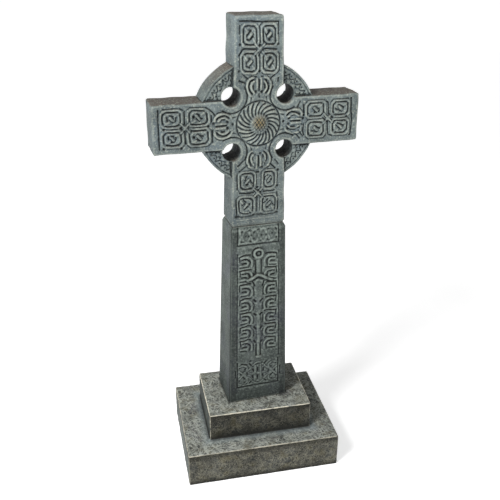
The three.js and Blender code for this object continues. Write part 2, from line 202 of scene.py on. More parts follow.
def arc(centre, radius, start, end, steps=16):
    angles = np.radians(np.linspace(start, end, steps + 1))
    return np.stack([centre[0] + radius * np.cos(angles), centre[1] + radius * np.sin(angles)], axis=1)


def lumps(points, size, seed):
    """Soft unevenness between -1 and 1: waves in all directions, with lengths around the given size."""
    rng = np.random.default_rng(seed)
    total = np.zeros(len(points))
    for _ in range(24):
        direction = rng.normal(size=points.shape[1])
        direction /= np.linalg.norm(direction)
        wave = 2 * math.pi / (size * rng.uniform(0.7, 1.8))
        total += np.sin(points @ direction * wave + rng.uniform(0, 2 * math.pi))
    return total / 7


print("carving tools ready")

# %% [markdown]
# ## Carving of the crosshead
#
# Each arm carries a panel of four eight-sided loops of two strands with a leaning cushion in each, straps
# that cross between the loops, and two hooked scrolls back to back towards the middle. The carver drew the
# panels by hand, and no two are alike, so each arm has its own list of strokes in three weights, and of
# punched pits. Places are in mm from the ring's centre. The boss in the middle has swirling flutes round a
# cross-hatched dome, collars run round the four holes, and a fine interlace covers the ring. The back is
# plainer.

# %% Weights of the strokes, as width and depth in mm
stroke_weights = {"bold": (2.1, 2.4), "plain": (2.1, 1.8), "fine": (1.8, 1.2)}
print("stroke weights:", ", ".join(stroke_weights))

# %% Strokes of the top arm
top_arm = {
    "turn": 0,
    "lean": 1,
    "loops": [
        (-13.7, 126, 9.8, 12.7), (15.3, 125.9, 9.2, 12.5), (-14.3, 89, 10.2, 12.5), (16.2, 88.3, 9.8, 12),
    ],
    "bold": [
        [(-28, 145.5), (-10, 145), (10, 144.3), (28, 143.8)], [(-23, 133), (-23.5, 118)],
        [(-19, 114), (-14, 113), (-9, 113.3)], [(9, 137.5), (11, 138.5), (21, 138)],
        [(6, 133), (6.5, 119)], [(11, 113.5), (21, 113.5)],
        [(-29, 100), (-25, 106), (-22, 108), (-10, 107.3), (-4, 107.2)],
        [(0.5, 99), (4, 104.5), (8, 107), (20, 106.5), (26, 106)],
        [(-21, 100.5), (-18, 101.8), (-9, 100.8)], [(-4, 95), (-4, 81)], [(-20, 77), (-10, 76.3)],
        [(9, 100), (14, 100.3), (20, 100), (23, 98.5)], [(11, 77), (21, 76)],
        [(-9.3, 64), (-12.5, 62), (-14.7, 58), (-15.2, 54), (-14.2, 50), (-12, 47), (-10, 45)],
        [(23.5, 70.5), (17, 65)], [(30, 66), (29.3, 61)], [(-30, 64), (-26, 62), (-21, 60)],
    ],
    "plain": [
        [(5, 143.5), (1, 139), (0, 136)], [(28, 143), (28, 128)], [(-21, 138), (-17, 139.5), (-10, 138)],
        [(-4, 132), (-4, 118)], [(-14, 131), (-18, 126)], [(-10, 124), (-14, 120), (-18, 120.5)],
        [(24, 133), (24, 118)], [(6.5, 118), (11, 113.8)], [(25.5, 119), (21, 113.5)],
        [(7, 131), (11, 126), (16, 131.5)], [(15, 120), (19, 124)], [(-14.5, 94), (-18.5, 89)],
        [(-19, 84), (-15, 82)], [(17, 94), (12, 88)], [(16, 82), (19, 86)], [(-23, 71), (-17, 66)],
        [(-9, 55.5), (-8.3, 52)], [(8.7, 57), (9, 52.5)], [(0.5, 43.5), (1, 39.5)],
        [(0.5, 64.5), (0.5, 48.5)], [(10, 64), (12, 60), (13.8, 56.5), (14.3, 52), (13.2, 48), (10.8, 45)],
    ],
    "fine": [
        [(-29, 140), (-29, 128)], [(-23, 117), (-19, 114)], [(-4, 118), (-9, 113.5)],
        [(-24.5, 97), (-24.5, 81)], [(-4, 81), (-10, 77)], [(6.5, 95), (6.5, 80)], [(26, 95), (26, 80)],
        [(-11, 70), (-4, 69)], [(3.5, 69), (10, 68.5)],
    ],
    "pits": [
        (5, 143.5), (28.5, 114), (-28, 114), (-13, 132), (0.5, 113), (15.5, 131.5), (15, 120), (-14, 94.5),
        (17, 94), (16, 82), (0.5, 99), (1, 76.5), (-29.5, 77), (-4.4, 47.5), (4.2, 46.6),
    ],
}
print("top arm:", len(top_arm["loops"]), "loops,", len(top_arm["pits"]), "pits")

# %% Strokes of the left arm
left_arm = {
    "turn": 90,
    "lean": -1,
    "loops": [
        (-130.3, 15.4, 13, 9.9), (-91, 15.5, 13, 10), (-130.2, -13.8, 13.1, 9.8), (-91, -13.9, 13.6, 9.9),
    ],
    "bold": [
        [(-149.5, 29), (-149.5, -28)], [(-143, 23), (-143.5, 17), (-143, 10.5)],
        [(-136.5, 18), (-136, 14)], [(-78, 20), (-78, 11)], [(-85, 6), (-83, 6.3)],
        [(-111, 25), (-111, 7)], [(-111, -6), (-111, -22)], [(-143.5, -9), (-143, -18)],
        [(-117, -8), (-117, -18)], [(-141, -21), (-136, -23), (-130, -24), (-122, -22.5)],
        [(-136.5, -10.5), (-136, -14)], [(-105, -9), (-104, -19)], [(-77.5, -9), (-77, -18)],
        [(-71, -6), (-71, -23)], [(-80, 29), (-75, 26), (-70, 21.5), (-66, 16.5)],
        [(-63.5, 11.5), (-60, 13.6), (-56, 14.9), (-51, 15.2), (-48, 13.6), (-45.5, 11.5)],
        [(-63.5, -9.3), (-60, -12), (-55, -13.7), (-50, -13.5), (-46, -11.2), (-44, -9.5)],
    ],
    "plain": [
        [(-136, 25.5), (-130, 25), (-122, 25)], [(-118, 22), (-117, 11)],
        [(-137, 5.5), (-131, 5.2), (-123, 6)], [(-124, 17), (-125, 12.5), (-129, 12)],
        [(-97, 26), (-85, 24.8)], [(-104, 20), (-104, 11)], [(-99, 6), (-95, 5), (-89, 5.5)],
        [(-88, 14), (-85, 14)], [(-118, 29.5), (-113, 27)], [(-137, -3.5), (-130, -4), (-122, -4)],
        [(-103, -2), (-98, -4.5), (-84, -4.5)], [(-117, 1), (-113, -3), (-110, -5.5)],
        [(-132, -9.5), (-127, -10), (-124.5, -13.5), (-128, -18), (-132, -18.5)],
        [(-103, -22), (-97, -24), (-90, -24), (-84, -23)], [(-95, -17), (-90, -18.5)],
        [(-88, -11), (-85, -13)], [(-57, 10), (-52, 9.8)], [(-57, -8), (-52.5, -8.3)],
        [(-72, 8), (-71.5, 17)], [(-65, 0.4), (-49, 0.3)],
    ],
    "fine": [
        [(-143, 10), (-138, 6)], [(-133, 21), (-127, 19.5)], [(-92, 21), (-88, 19)],
    ],
    "pits": [
        (-97.5, 16.5), (-142, 1), (-117.5, 1.5), (-77, 1), (-98, -13.5), (-143, -28), (-117.5, -28),
        (-47.5, 5.5), (-47.5, -3.2), (-39.5, 1.3), (-69.5, 5),
    ],
}
print("left arm:", len(left_arm["loops"]), "loops,", len(left_arm["pits"]), "pits")

# %% Strokes of the right arm
right_arm = {
    "turn": -90,
    "lean": -1,
    "loops": [
        (130.3, 15, 12.3, 9.6), (89.8, 15.2, 12.8, 9.9), (91, -14.4, 12.5, 10.4), (130.5, -13.4, 12, 9.4),
    ],
    "bold": [
        [(147.5, 29), (148.5, 15), (149, 8), (150, 0), (150, -10), (149, -25), (147, -27.5)],
        [(118, 20), (118, 10)], [(101.5, 23), (102.5, 12), (104, 10)],
        [(107, 26), (110, 23), (110.5, 12), (111.5, 8)], [(110, -4), (111, -20), (111.5, -23)],
        [(87, -3.5), (92, -4), (98, -4.5), (101, -6)], [(103, -8), (104, -19)],
        [(90, -10), (94, -12), (97, -13.5)], [(118, -8), (118.5, -17), (120, -19)],
        [(126, -8), (131, -10), (136, -12), (136.5, -13)], [(70.5, 23), (71, 12)],
        [(71, -6), (70.5, -16), (72, -22)],
        [(44, 10.5), (46, 13), (50, 15), (54, 14.8), (58, 13), (61, 11.5), (63.5, 10)],
        [(45, -8), (47, -10.5), (51, -12), (56, -12), (60, -10.7), (63.5, -9.3)],
        [(64.5, 28), (62, 24), (61, 21)],
    ],
    "plain": [
        [(119, 9), (123, 6), (135, 6)], [(142, 22), (143, 12)],
        [(121, 15), (125, 13.5), (129, 11.5), (132, 12)], [(127, 20), (131, 18), (135, 16), (133, 12)],
        [(77, 20), (77.5, 12)], [(78, 11), (82, 7), (86, 5.5), (96, 5)],
        [(90, 19.5), (95, 16), (95.5, 13), (91, 11.5), (88, 11)], [(113, 8), (117, 2)],
        [(101, 3), (104, 0.5)], [(104, 0), (109, -4)], [(78.5, -8), (78.5, -17), (80, -22), (84, -24)],
        [(86, -17.5), (90, -18.5), (94, -18)], [(120, -5), (122, -3.5), (135, -4.5)],
        [(142.5, -8), (142.5, -19)], [(120, -20), (124, -21)], [(131, -22.5), (136, -23)],
        [(124, -11), (127, -14), (131, -16.5)], [(113, -25), (118, -27)], [(50.5, 10.2), (56, 9.8)],
        [(50.5, -8), (56, -8.4)], [(50, 0.3), (64, 0.3)], [(52, -17), (57, -19), (61, -22), (65, -27)],
        [(63, -14.5), (67, -19.5), (70.5, -24)], [(68, -6), (68, -12)],
    ],
    "fine": [
        [(121, 26), (125, 24), (133, 24)], [(88, 25), (97, 24.5)], [(84, -24), (95, -25)],
        [(65, 5), (70, 4.5)],
    ],
    "pits": [
        (111.5, 7.6), (117.5, 1.8), (140.5, 2), (70, 3.5), (70.5, 8), (47, 5), (46.5, -3.5), (38.5, 1.2),
    ],
}
print("right arm:", len(right_arm["loops"]), "loops,", len(right_arm["pits"]), "pits")

# %% Strokes of the lower arm
lower_arm = {
    "turn": 180,
    "lean": 1,
    "loops": [
        (-18.2, -88.8, 10.8, 12.7), (17.3, -88, 8.4, 12.4), (-19.8, -129, 11.2, 13),
        (17.2, -128.5, 10.4, 13),
    ],
    "bold": [
        [(-3, -75), (0.5, -75)], [(-23, -75.5), (-18, -76), (-13, -75.5)], [(-29, -80), (-29, -94)],
        [(-13.5, -87), (-11, -91), (-8.5, -94)], [(10, -76), (15, -75.5), (20, -75.5)],
        [(14, -81), (10.5, -84), (10, -88)], [(-35, -118), (-35, -148)], [(31, -111), (31, -117)],
        [(31.5, -125), (31.5, -140)], [(-30, -107), (-25, -108), (-15, -108.5), (-8, -107.5)],
        [(-0.5, -104), (4, -108)], [(8, -107), (20, -107.5), (26, -107)], [(-31, -123), (-31, -134)],
        [(-26.5, -141), (-22, -142), (-16, -142.5)], [(-8.5, -131), (-8.5, -135)],
        [(-24, -117), (-22, -120), (-19.5, -122)], [(-22, -134.5), (-16.5, -129.5)],
        [(8, -127), (15, -121.5)], [(-24, -56), (-28, -60), (-32, -63.5)],
        [(-11, -43), (-13, -46), (-14.6, -50), (-15, -54), (-14, -57.5), (-12.3, -60.5), (-11.3, -62.8)],
        [(9.5, -43), (12, -46), (13.2, -50), (12.6, -55), (11, -59), (8.8, -62)],
        [(18, -63), (24, -68), (26.5, -70.5)],
    ],
    "plain": [
        [(-7.5, -80), (-7.5, -86)], [(-9, -92), (-7.5, -95), (-9, -98)], [(-25, -101), (-20, -102)],
        [(-15, -100.5), (-10, -100.5)], [(-18.5, -80), (-22, -86)], [(25, -79), (25.5, -92)],
        [(15, -93.5), (18, -92)], [(-34, -78), (-34, -100)], [(-2, -115), (-2, -140)],
        [(-25, -115.5), (-16, -116), (-11, -118), (-8.5, -121), (-8.5, -124)], [(-25, -127), (-20, -123)],
        [(24, -129), (26, -132)], [(10, -141), (20, -141.5)], [(-10, -50), (-10, -53.5)],
        [(7.5, -48), (7.5, -52)], [(-8.5, -45), (-5.8, -46.7)], [(0, -49.5), (0, -65)],
        [(3, -67), (9, -68), (15, -67.5)], [(26, -58), (29, -61), (31, -64.5)],
        [(-20, -64.5), (-25, -68.5), (-30, -72)],
    ],
    "fine": [
        [(8, -100), (20, -101)], [(6, -115), (12, -116)], [(20, -115), (24, -120)],
        [(-14, -67.5), (-6, -68)],
    ],
    "pits": [
        (-18.5, -94.5), (20, -88), (31, -74), (31, -100), (-2, -100), (-13, -141), (-13.7, -126.5),
        (15, -134), (3, -46), (-18, -62.7),
    ],
}
print("lower arm:", len(lower_arm["loops"]), "loops,", len(lower_arm["pits"]), "pits")

# %% Cut the panel of an arm
scroll_lines = [
    [(8.5, 68), (14, 66), (17.3, 60), (17.8, 53), (15.5, 46), (11, 41.5)],
    [(13, 69), (18.5, 65), (20.6, 58), (20.2, 50), (17, 43)],
    [(8, 62.5), (10.6, 59), (11.3, 53.5), (9.6, 48.5), (7, 46)],
    [(3, 66), (3, 51)],
]


def eight_sided(u, v, half_u, half_v):
    corner = 4.4
    return np.array([(half_u - corner, -half_v), (half_u, -half_v + corner), (half_u, half_v - corner),
                     (half_u - corner, half_v), (-half_u + corner, half_v), (-half_u, half_v - corner),
                     (-half_u, -half_v + corner), (-half_u + corner, -half_v)]) + (u, v)


def cut_drawing(relief, drawing):
    """One arm's panel: woven loops, straps that cross between them, the drawn strokes and the scrolls."""
    for u, v, half_u, half_v in drawing["loops"]:
        relief.ridge(eight_sided(u, v, half_u + 2.4, half_v + 2.4), width=3.3, rise=0.8, closed=True)
        relief.ridge(eight_sided(u, v, half_u - 2.3, half_v - 2.3), width=2.7, rise=0.7, closed=True)
        relief.groove(eight_sided(u, v, half_u, half_v), width=1.7, depth=1.6, closed=True)
        relief.groove(eight_sided(u, v, half_u + 4.5, half_v + 4.5), width=1.6, depth=0.9, closed=True)
        lean = drawing["lean"]
        cushion = np.array([(-5 * lean, -2), (1.5 * lean, 5.6), (5 * lean, 2), (-1.5 * lean, -5.6)]) + (u, v)
        relief.groove(cushion, width=1.4, depth=1.0, closed=True)
        relief.ridge([(u - 2.4 * lean, v - 2.4), (u + 2.4 * lean, v + 2.4)], width=3.8, rise=1.4)
        for sign in (-1, 1):
            relief.ridge([(u - sign * lean * (half_u - 2.6), v + sign * (half_v - 2.6)),
                          (u - sign * lean * 4.2, v + sign * 4.2)], width=3.2, rise=1.3)
    crossing = np.mean([loop[:2] for loop in drawing["loops"]], axis=0)
    for step in ((1, 1), (-1, 1), (-1, -1), (1, -1)):
        step = np.array(step)
        relief.ridge([crossing, crossing + 7.5 * step], width=3.0, rise=1.2)
        for side in (-1, 1):
            beside = crossing + side * 1.9 * step * (1, -1) / math.sqrt(2)
            relief.groove([beside + 2.6 * step, beside + 6.4 * step], width=1.3, depth=1.4)
    for weight, (width, depth) in stroke_weights.items():
        for line in drawing[weight]:
            relief.groove(curve(line), width=width, depth=depth)
    for spot in drawing["pits"]:
        relief.pit(spot, radius=1.9, depth=2.8)
    for side in (1, -1):
        scroll = [turned(curve(line) * (side, 1), drawing["turn"]) for line in scroll_lines]
        outer, beyond, inner, bar = scroll
        relief.ridge(outer, width=3.7, rise=1.5)
        relief.groove(beyond, width=1.4, depth=1.0)
        relief.ridge(inner, width=3.2, rise=1.4)
        relief.ridge(bar, width=3.4, rise=1.2)


arms = (top_arm, left_arm, right_arm, lower_arm)
print("strokes drawn:", sum(len(arm[weight]) for arm in arms for weight in stroke_weights))

# %% Crosshead carving


def carve_round(relief, plain):
    u, v = relief.points[:, 0], relief.points[:, 1]
    radius = np.hypot(u, v)
    swell = 3.0 * np.sin(np.clip((boss_radius - radius) / (boss_radius - dome_radius), 0, 1) * math.pi / 2)
    dome = 5.0 * np.sqrt(np.clip(1 - (radius / dome_radius) ** 2, 0, 1))
    relief.rise += swell + dome
    relief.groove(arc((0, 0), boss_radius + 1.1, 0, 360, 72), width=2.4, depth=2.2)
    for centre in hole_centres:
        middle = math.degrees(math.atan2(-centre[1], -centre[0]))
        relief.groove(arc(centre, collar_radius + 1.2, middle - 78, middle + 78, 30), width=2.6, depth=2.3)
        if not plain:
            for start in (middle - 54, middle + 16):
                line = arc(centre, collar_radius + 7.5, start, start + 38, 12)
                relief.groove(line, width=1.9, depth=1.3)
    if plain:
        return
    for flute in range(22):
        share = np.linspace(0, 1, 6)
        angle = np.radians(360 * flute / 22 - 27 * share ** 1.2)
        along = dome_radius - 1.5 + (boss_radius - dome_radius + 0.3) * share
        line = np.stack([along * np.cos(angle), along * np.sin(angle)], axis=1)
        relief.groove(line, width=2.2, depth=2.6, shoulder=0.6)
    relief.groove(arc((0, 0), dome_radius + 0.3, 0, 360, 60), width=1.4, depth=0.9)
    hatch = np.zeros(len(u))
    for direction in (32, -38):
        lean = math.radians(direction)
        across = u * math.cos(lean) + v * math.sin(lean)
        hatch = np.maximum(hatch, np.cos(across * math.pi / 4.2) ** 10)
    inside = radius < dome_radius - 2.5
    relief.cut[inside] = np.maximum(relief.cut[inside], 1.7 * hatch[inside])


def carve_ring(relief):
    """A small interlace on the ring between the arms: wavy strands in three rows, with a pit in each mesh."""
    for quarter in range(4):
        middle = 45 + 90 * quarter

        def spot(angle, radius):
            turn = math.radians(middle + angle)
            return radius * math.cos(turn), radius * math.sin(turn)

        for start in (-22, -14, -6, 2, 10, 18):
            for line, width, depth in (([(0, 85), (3, 79), (6, 80), (8, 85)], 1.9, 1.7),
                                       ([(-2, 78), (1, 74), (4, 71), (7, 73)], 1.9, 1.5),
                                       ([(0, 69), (4, 65.5), (8, 69)], 1.8, 1.2)):
                strand = curve([spot(start + angle, radius) for angle, radius in line])
                relief.groove(strand, width=width, depth=depth)
            for angle, radius in ((5, 83), (1, 76.5), (5, 69)):
                relief.pit(spot(start + angle, radius), radius=1.6, depth=2.0)
        relief.groove(arc((0, 0), ring_radius - 3.6, middle - 24, middle + 24, 24), width=1.7, depth=1.2)


def carve_head_front(relief, on_cross):
    relief.open = ~on_cross
    carve_ring(relief)
    relief.open = on_cross
    for arm in arms:
        cut_drawing(relief, arm)
    relief.groove([(-36, -146), (31, -144.5)], width=6.5, depth=2.4)
    relief.ridge([(-35, -151.5), (32, -150.5)], width=3.0, rise=0.8)
    carve_round(relief, plain=False)


def carve_head_back(relief):
    carve_round(relief, plain=True)
    for degrees, reach, side, border in ((90, head_top, 28, 8.6), (0, arm_reach, 27.8, 10),
                                         (180, arm_reach, 27.8, 10), (270, ring_up, 32.5, 15)):
        end = reach - border
        relief.groove(turned([(-side, end), (side, end)], degrees - 90), width=3.2, depth=2.2)
        for row in (0.245, 0.757):
            for sign in (-1, 1):
                t, s = sign * side / 2, 71 + row * (end - 71)
                half_t, half_s = 0.345 * side, 0.172 * (end - 71)
                box = [(t - half_t, s - half_s), (t + half_t, s - half_s),
                       (t + half_t, s + half_s), (t - half_t, s + half_s)]
                relief.groove(turned(box, degrees - 90), width=2.2, depth=1.7, closed=True)
    for quarter in range(4):
        middle = 45 + 90 * quarter
        relief.groove(arc((0, 0), ring_radius - 4.5, middle - 19, middle + 19, 24), width=2.0, depth=1.6)


print("crosshead carving ready")

# %% [markdown]
# ## Crosshead
#
# The head is cast as one with its ring. Its front and back are height fields over the same outline: the
# outline and the rims of the holes are laid out first, then the lines on both sides of the step between arm
# and ring, then a fine even grid, and one triangulation joins them. The walls between the two faces close
# the skin. A grid this fine is needed because the strokes are only two millimetres wide.

# %% How far a point lies inside the head


def upright_half(v):
    return head_foot_half + (head_top_half - head_foot_half) * (v + ring_up) / head_height


def inside_upright(points):
    u, v = np.abs(points[:, 0]), points[:, 1]
    foot = np.clip((seam_height - (v + ring_up)) / seam_height, 0, 1) * seam_inset
    return upright_half(v) - foot - u


def inside_cross(points, foot=True):
    u, v = np.abs(points[:, 0]), points[:, 1]
    upright = np.minimum(inside_upright(points), head_top - v)
    if foot:
        upright = np.minimum(upright, v + ring_up)
    arms = np.minimum(arm_reach - u, arm_half_height - np.abs(v))
    return np.maximum(upright, arms)


def from_holes(points):
    gaps = [np.hypot(points[:, 0] - u, points[:, 1] - v) - hole_radius for u, v in hole_centres]
    return np.min(gaps, axis=0)


def inside_ring(points):
    return ring_radius - np.hypot(points[:, 0], points[:, 1])


def inside_head(points):
    return np.minimum(np.maximum(inside_cross(points), inside_ring(points)), from_holes(points))


print("upright is", round(2 * upright_half(0.0), 1), "mm wide at the ring's centre")

# %% Outline of the head


def evenly(start, end, pitch, first=None):
    """Points from start towards end, without the end; the first step may be a short one."""
    start, end = np.array(start, dtype=float), np.array(end, dtype=float)
    length = np.linalg.norm(end - start)
    count = max(int(round(length / pitch)), 1)
    shares = np.arange(count) / count
    if first is not None:
        shares = np.unique(np.concatenate([shares, [first / length, 1 - first / length]]))
    return [tuple(start + share * (end - start)) for share in shares]


def meeting_height(sign):
    """Where the edge of the upright crosses the ring's rim, above or below the ring's centre."""
    v = sign * 83.0
    for _ in range(20):
        v = sign * math.sqrt(ring_radius ** 2 - upright_half(v) ** 2)
    return v


def head_outline(pitch):
    high, low = meeting_height(1), meeting_height(-1)
    out = math.sqrt(ring_radius ** 2 - arm_half_height ** 2)
    rounding = corner_radius

    def ring_arc(start, end):
        a0, a1 = math.degrees(math.atan2(start[1], start[0])), math.degrees(math.atan2(end[1], end[0]))
        return [tuple(point) for point in arc((0, 0), ring_radius, a0, a1, int(50 / pitch))[:-1]]

    def corner(centre_u, centre_v, start):
        return [tuple(point) for point in arc((centre_u, centre_v), rounding, start, start + 90, 4)]

    near = 0.2
    inner_reach, inner_height = arm_reach - rounding, arm_half_height - rounding
    right = evenly((out, -arm_half_height), (inner_reach, -arm_half_height), pitch, near)
    right += corner(inner_reach, -inner_height, -90)
    right += evenly((arm_reach, -inner_height), (arm_reach, inner_height), pitch)[1:]
    right += corner(inner_reach, inner_height, 0)
    right += evenly((inner_reach, arm_half_height), (out, arm_half_height), pitch, near)[1:]
    right += ring_arc((out, arm_half_height), (upright_half(high), high))
    top_half = upright_half(head_top)
    right += evenly((upright_half(high), high), (top_half, head_top - rounding), pitch, near)
    right += corner(top_half - rounding, head_top - rounding, 0)
    left = [(-u, v) for u, v in reversed(right)]
    bevel_v = -ring_up + seam_height
    foot = evenly((upright_half(-ring_up) - seam_inset, -ring_up), (upright_half(bevel_v), bevel_v), pitch)
    foot += evenly((upright_half(bevel_v), bevel_v), (upright_half(low), low), pitch, near)
    foot += ring_arc((upright_half(low), low), (out, -arm_half_height))
    foot_left = [(-u, v) for u, v in reversed(foot)]
    top = evenly((top_half - rounding, head_top), (-(top_half - rounding), head_top), pitch)[1:]
    bottom_half = upright_half(-ring_up) - seam_inset
    bottom = evenly((-bottom_half, -ring_up), (bottom_half, -ring_up), pitch)[1:]
    return np.array(right + top + left + foot_left + bottom + foot)


print("ring meets the upright", round(meeting_height(1), 1), "mm above its centre")

# %% Points and triangles of a face


def step_lines(pitch):
    """Points along the arms' edges where they stand over the ring, with the way that leads out of the arm."""
    spots = []
    high, low = meeting_height(1), meeting_height(-1)
    out = math.sqrt(ring_radius ** 2 - arm_half_height ** 2)
    for sign_v, v_end in ((1, high), (-1, low)):
        v = sign_v * hole_offset
        reach = math.sqrt(hole_radius ** 2 - (hole_offset - upright_half(v)) ** 2)
        v_start = sign_v * (hole_offset + reach + 0.4)
        for _, v in evenly((0, v_start), (0, v_end - sign_v * 0.6), pitch):
            for sign_u in (1, -1):
                spots.append((sign_u * upright_half(v), v, sign_u, 0))
    u_start = hole_offset + math.sqrt(hole_radius ** 2 - (hole_offset - arm_half_height) ** 2) + 0.4
    for u, _ in evenly((u_start, 0), (out - 0.6, 0), pitch):
        for sign_u in (1, -1):
            for sign_v in (1, -1):
                spots.append((sign_u * u, sign_v * arm_half_height, 0, sign_v))
    return np.array(spots)


def head_face(pitch, loops, fine):
    """The face's points and triangles. The loops come first, in the order given."""
    points = [point for loop in loops for point in loop]
    edges = []
    start = 0
    for loop in loops:
        edges += [(start + i, start + (i + 1) % len(loop)) for i in range(len(loop))]
        start += len(loop)
    extra = []
    for loop in loops:
        loop = np.array(loop)
        along = np.roll(loop, -1, axis=0) - np.roll(loop, 1, axis=0)
        along /= np.linalg.norm(along, axis=1)[:, None]
        inward = np.stack([-along[:, 1], along[:, 0]], axis=1)
        for inset in ((0.45, 1.2) if fine else (1.2,)):
            ring = loop + inward * inset
            extra.append(ring[np.abs(inside_head(ring) - inset) < 0.25 * inset + 0.05])
    steps = step_lines(pitch)
    place, outward = steps[:, :2], steps[:, 2:]
    for offset in (0.0, -0.35, -1.2, 1.0):
        line = place + outward * offset
        extra.append(line[inside_head(line) > 0.4])
    columns, rows = np.arange(-arm_reach, arm_reach, pitch), np.arange(-ring_up, head_top, pitch * 0.87)
    grid = np.stack(np.meshgrid(columns, rows), axis=-1)
    grid[1::2, :, 0] += pitch / 2
    grid = grid.reshape(-1, 2)
    clear = inside_head(grid) > 1.2 + pitch * 0.6
    step_gap = inside_cross(grid, foot=False)
    over_ring = inside_ring(grid) > 0
    clear &= ~(over_ring & (step_gap > -1 - pitch * 0.6) & (step_gap < 1.2 + pitch * 0.6))
    extra.append(grid[clear])
    points = np.vstack([np.array(points)] + extra)
    result = delaunay_2d_cdt([Vector(point) for point in points], edges, [], 0, 1e-4)
    placed = np.array([tuple(point) for point in result[0]])
    faces = np.array(result[2])
    middle = placed[faces].mean(axis=1)
    faces = faces[inside_head(middle) > 0]
    a, b, c = placed[faces[:, 0]], placed[faces[:, 1]], placed[faces[:, 2]]
    area = (b[:, 0] - a[:, 0]) * (c[:, 1] - a[:, 1]) - (b[:, 1] - a[:, 1]) * (c[:, 0] - a[:, 0])
    faces = np.where((area < 0)[:, None], faces[:, ::-1], faces)
    return placed, faces[np.abs(area) > 1e-6]


print("step lines have", len(step_lines(1.0)), "points at a pitch of 1 mm")

# %% Heights of a face, and helpers for meshes


def head_levels(points):
    """Height over the head's front plane before any carving: the ring's recess, steps and worn arrises."""
    cross = inside_cross(points, foot=False)
    ring = inside_ring(points)
    holes = from_holes(points)

    def worn(distance):
        inside = np.clip(arris - distance, 0, arris)
        return arris - np.sqrt(arris ** 2 - inside ** 2)

    on_cross = cross > -1e-3
    height = np.where(on_cross, -worn(np.minimum(cross, holes)), -ring_recess - worn(np.minimum(ring, holes)))
    step = on_cross & (ring > 0.05) & (cross < 0.34)
    height[step] = -ring_recess + (ring_recess - 0.8) * cross[step].clip(0) / 0.34
    foot = np.clip((seam_height - (points[:, 1] + ring_up)) / seam_height, 0, 1)
    return height - seam_inset * foot


def make_mesh(name, vertices, faces):
    mesh = bpy.data.meshes.new(name)
    faces = [tuple(int(i) for i in face) for face in faces]
    mesh.from_pydata([tuple(vertex) for vertex in vertices], [], faces)
    mesh.update()
    piece = bpy.data.objects.new(name, mesh)
    bpy.context.collection.objects.link(piece)
    return piece


def mesh_points(mesh):
    points = np.empty(len(mesh.vertices) * 3)
    mesh.vertices.foreach_get("co", points)
    return points.reshape(-1, 3)


def in_place(points, up):
    """From the cross's own axes in mm to the frame in metres."""
    x = points[:, 0] * math.cos(cross_turn) - points[:, 1] * math.sin(cross_turn)
    y = points[:, 0] * math.sin(cross_turn) + points[:, 1] * math.cos(cross_turn)
    return np.stack([x, y, points[:, 2] + up], axis=1) * MM


print("ring lies", ring_recess, "mm behind the arms")

# %% Build the crosshead


def build_head():
    rim_fade = 1.5
    rows = 7
    outline = head_outline(1.1)
    rims = [arc(centre, hole_radius, 360, 0, 80)[:-1] for centre in hole_centres]
    loops = [outline] + rims
    loop_count = sum(len(loop) for loop in loops)
    front, front_faces = head_face(0.9, loops, fine=True)
    back, back_faces = head_face(1.7, loops, fine=False)

    front_relief = Relief(front)
    carve_head_front(front_relief, inside_cross(front, foot=False) > -1e-3)
    carving = front_relief.height() + 0.16 * lumps(front, 9, 3) + 0.1 * lumps(front, 4, 5)
    front_height = head_levels(front) + carving * np.clip(inside_head(front) / rim_fade, 0, 1)
    back_relief = Relief(flipped(back))
    carve_head_back(back_relief)
    carving = back_relief.height() + 0.16 * lumps(back, 9, 4)
    back_height = head_levels(back) + carving * np.clip(inside_head(back) / rim_fade, 0, 1)

    vertices = [np.stack([front[:, 0], -head_half_depth - front_height, front[:, 1]], axis=1),
                np.stack([back[:, 0], head_half_depth + back_height, back[:, 1]], axis=1)]
    faces = [tuple(face) for face in front_faces]
    faces += [tuple(face[::-1] + len(front)) for face in back_faces]

    # Both faces start with the same loops, so rows of points between them make the walls
    total = len(front) + len(back)
    wall = []
    for row in range(1, rows):
        share = row / rows
        wall.append(vertices[0][:loop_count] * (1 - share) + vertices[1][:loop_count] * share)
    start = 0
    for loop in loops:
        for i in range(len(loop)):
            j = (i + 1) % len(loop)
            columns = []
            for k in (i, j):
                columns.append([start + k] + [total + row * loop_count + start + k for row in range(rows - 1)]
                               + [len(front) + start + k])
            for row in range(rows):
                faces.append((columns[0][row], columns[0][row + 1], columns[1][row + 1], columns[1][row]))
        start += len(loop)

    # The casting is nowhere quite straight
    points = np.vstack(vertices + wall)
    points[:, 0] += 0.5 * lumps(points, 26, 11)
    points[:, 2] += 0.5 * lumps(points, 26, 12)
    return make_mesh("crosshead", in_place(points, head_up), faces)


head = build_head()
print("crosshead:", len(head.data.vertices), "vertices,", len(head.data.polygons), "faces")

# %% [markdown]
# ## Carving of the shaft
#
# The shaft's front has a knot panel at its foot and a plaited band at its top. Between them seven
# key-pattern loops climb both sides of a hooded figure: a ring for a head, a stem, a peaked hood and a long
# tapering body. Places are in mm from the middle of the shaft's foot. A strand of the knot is a ridge with
# a wider groove under it, so that it stands up between two cuts.

# %% Drawings of the shaft's panels
fret_tops = [281, 255.5, 228.8, 201.6, 175.5, 149, 122]

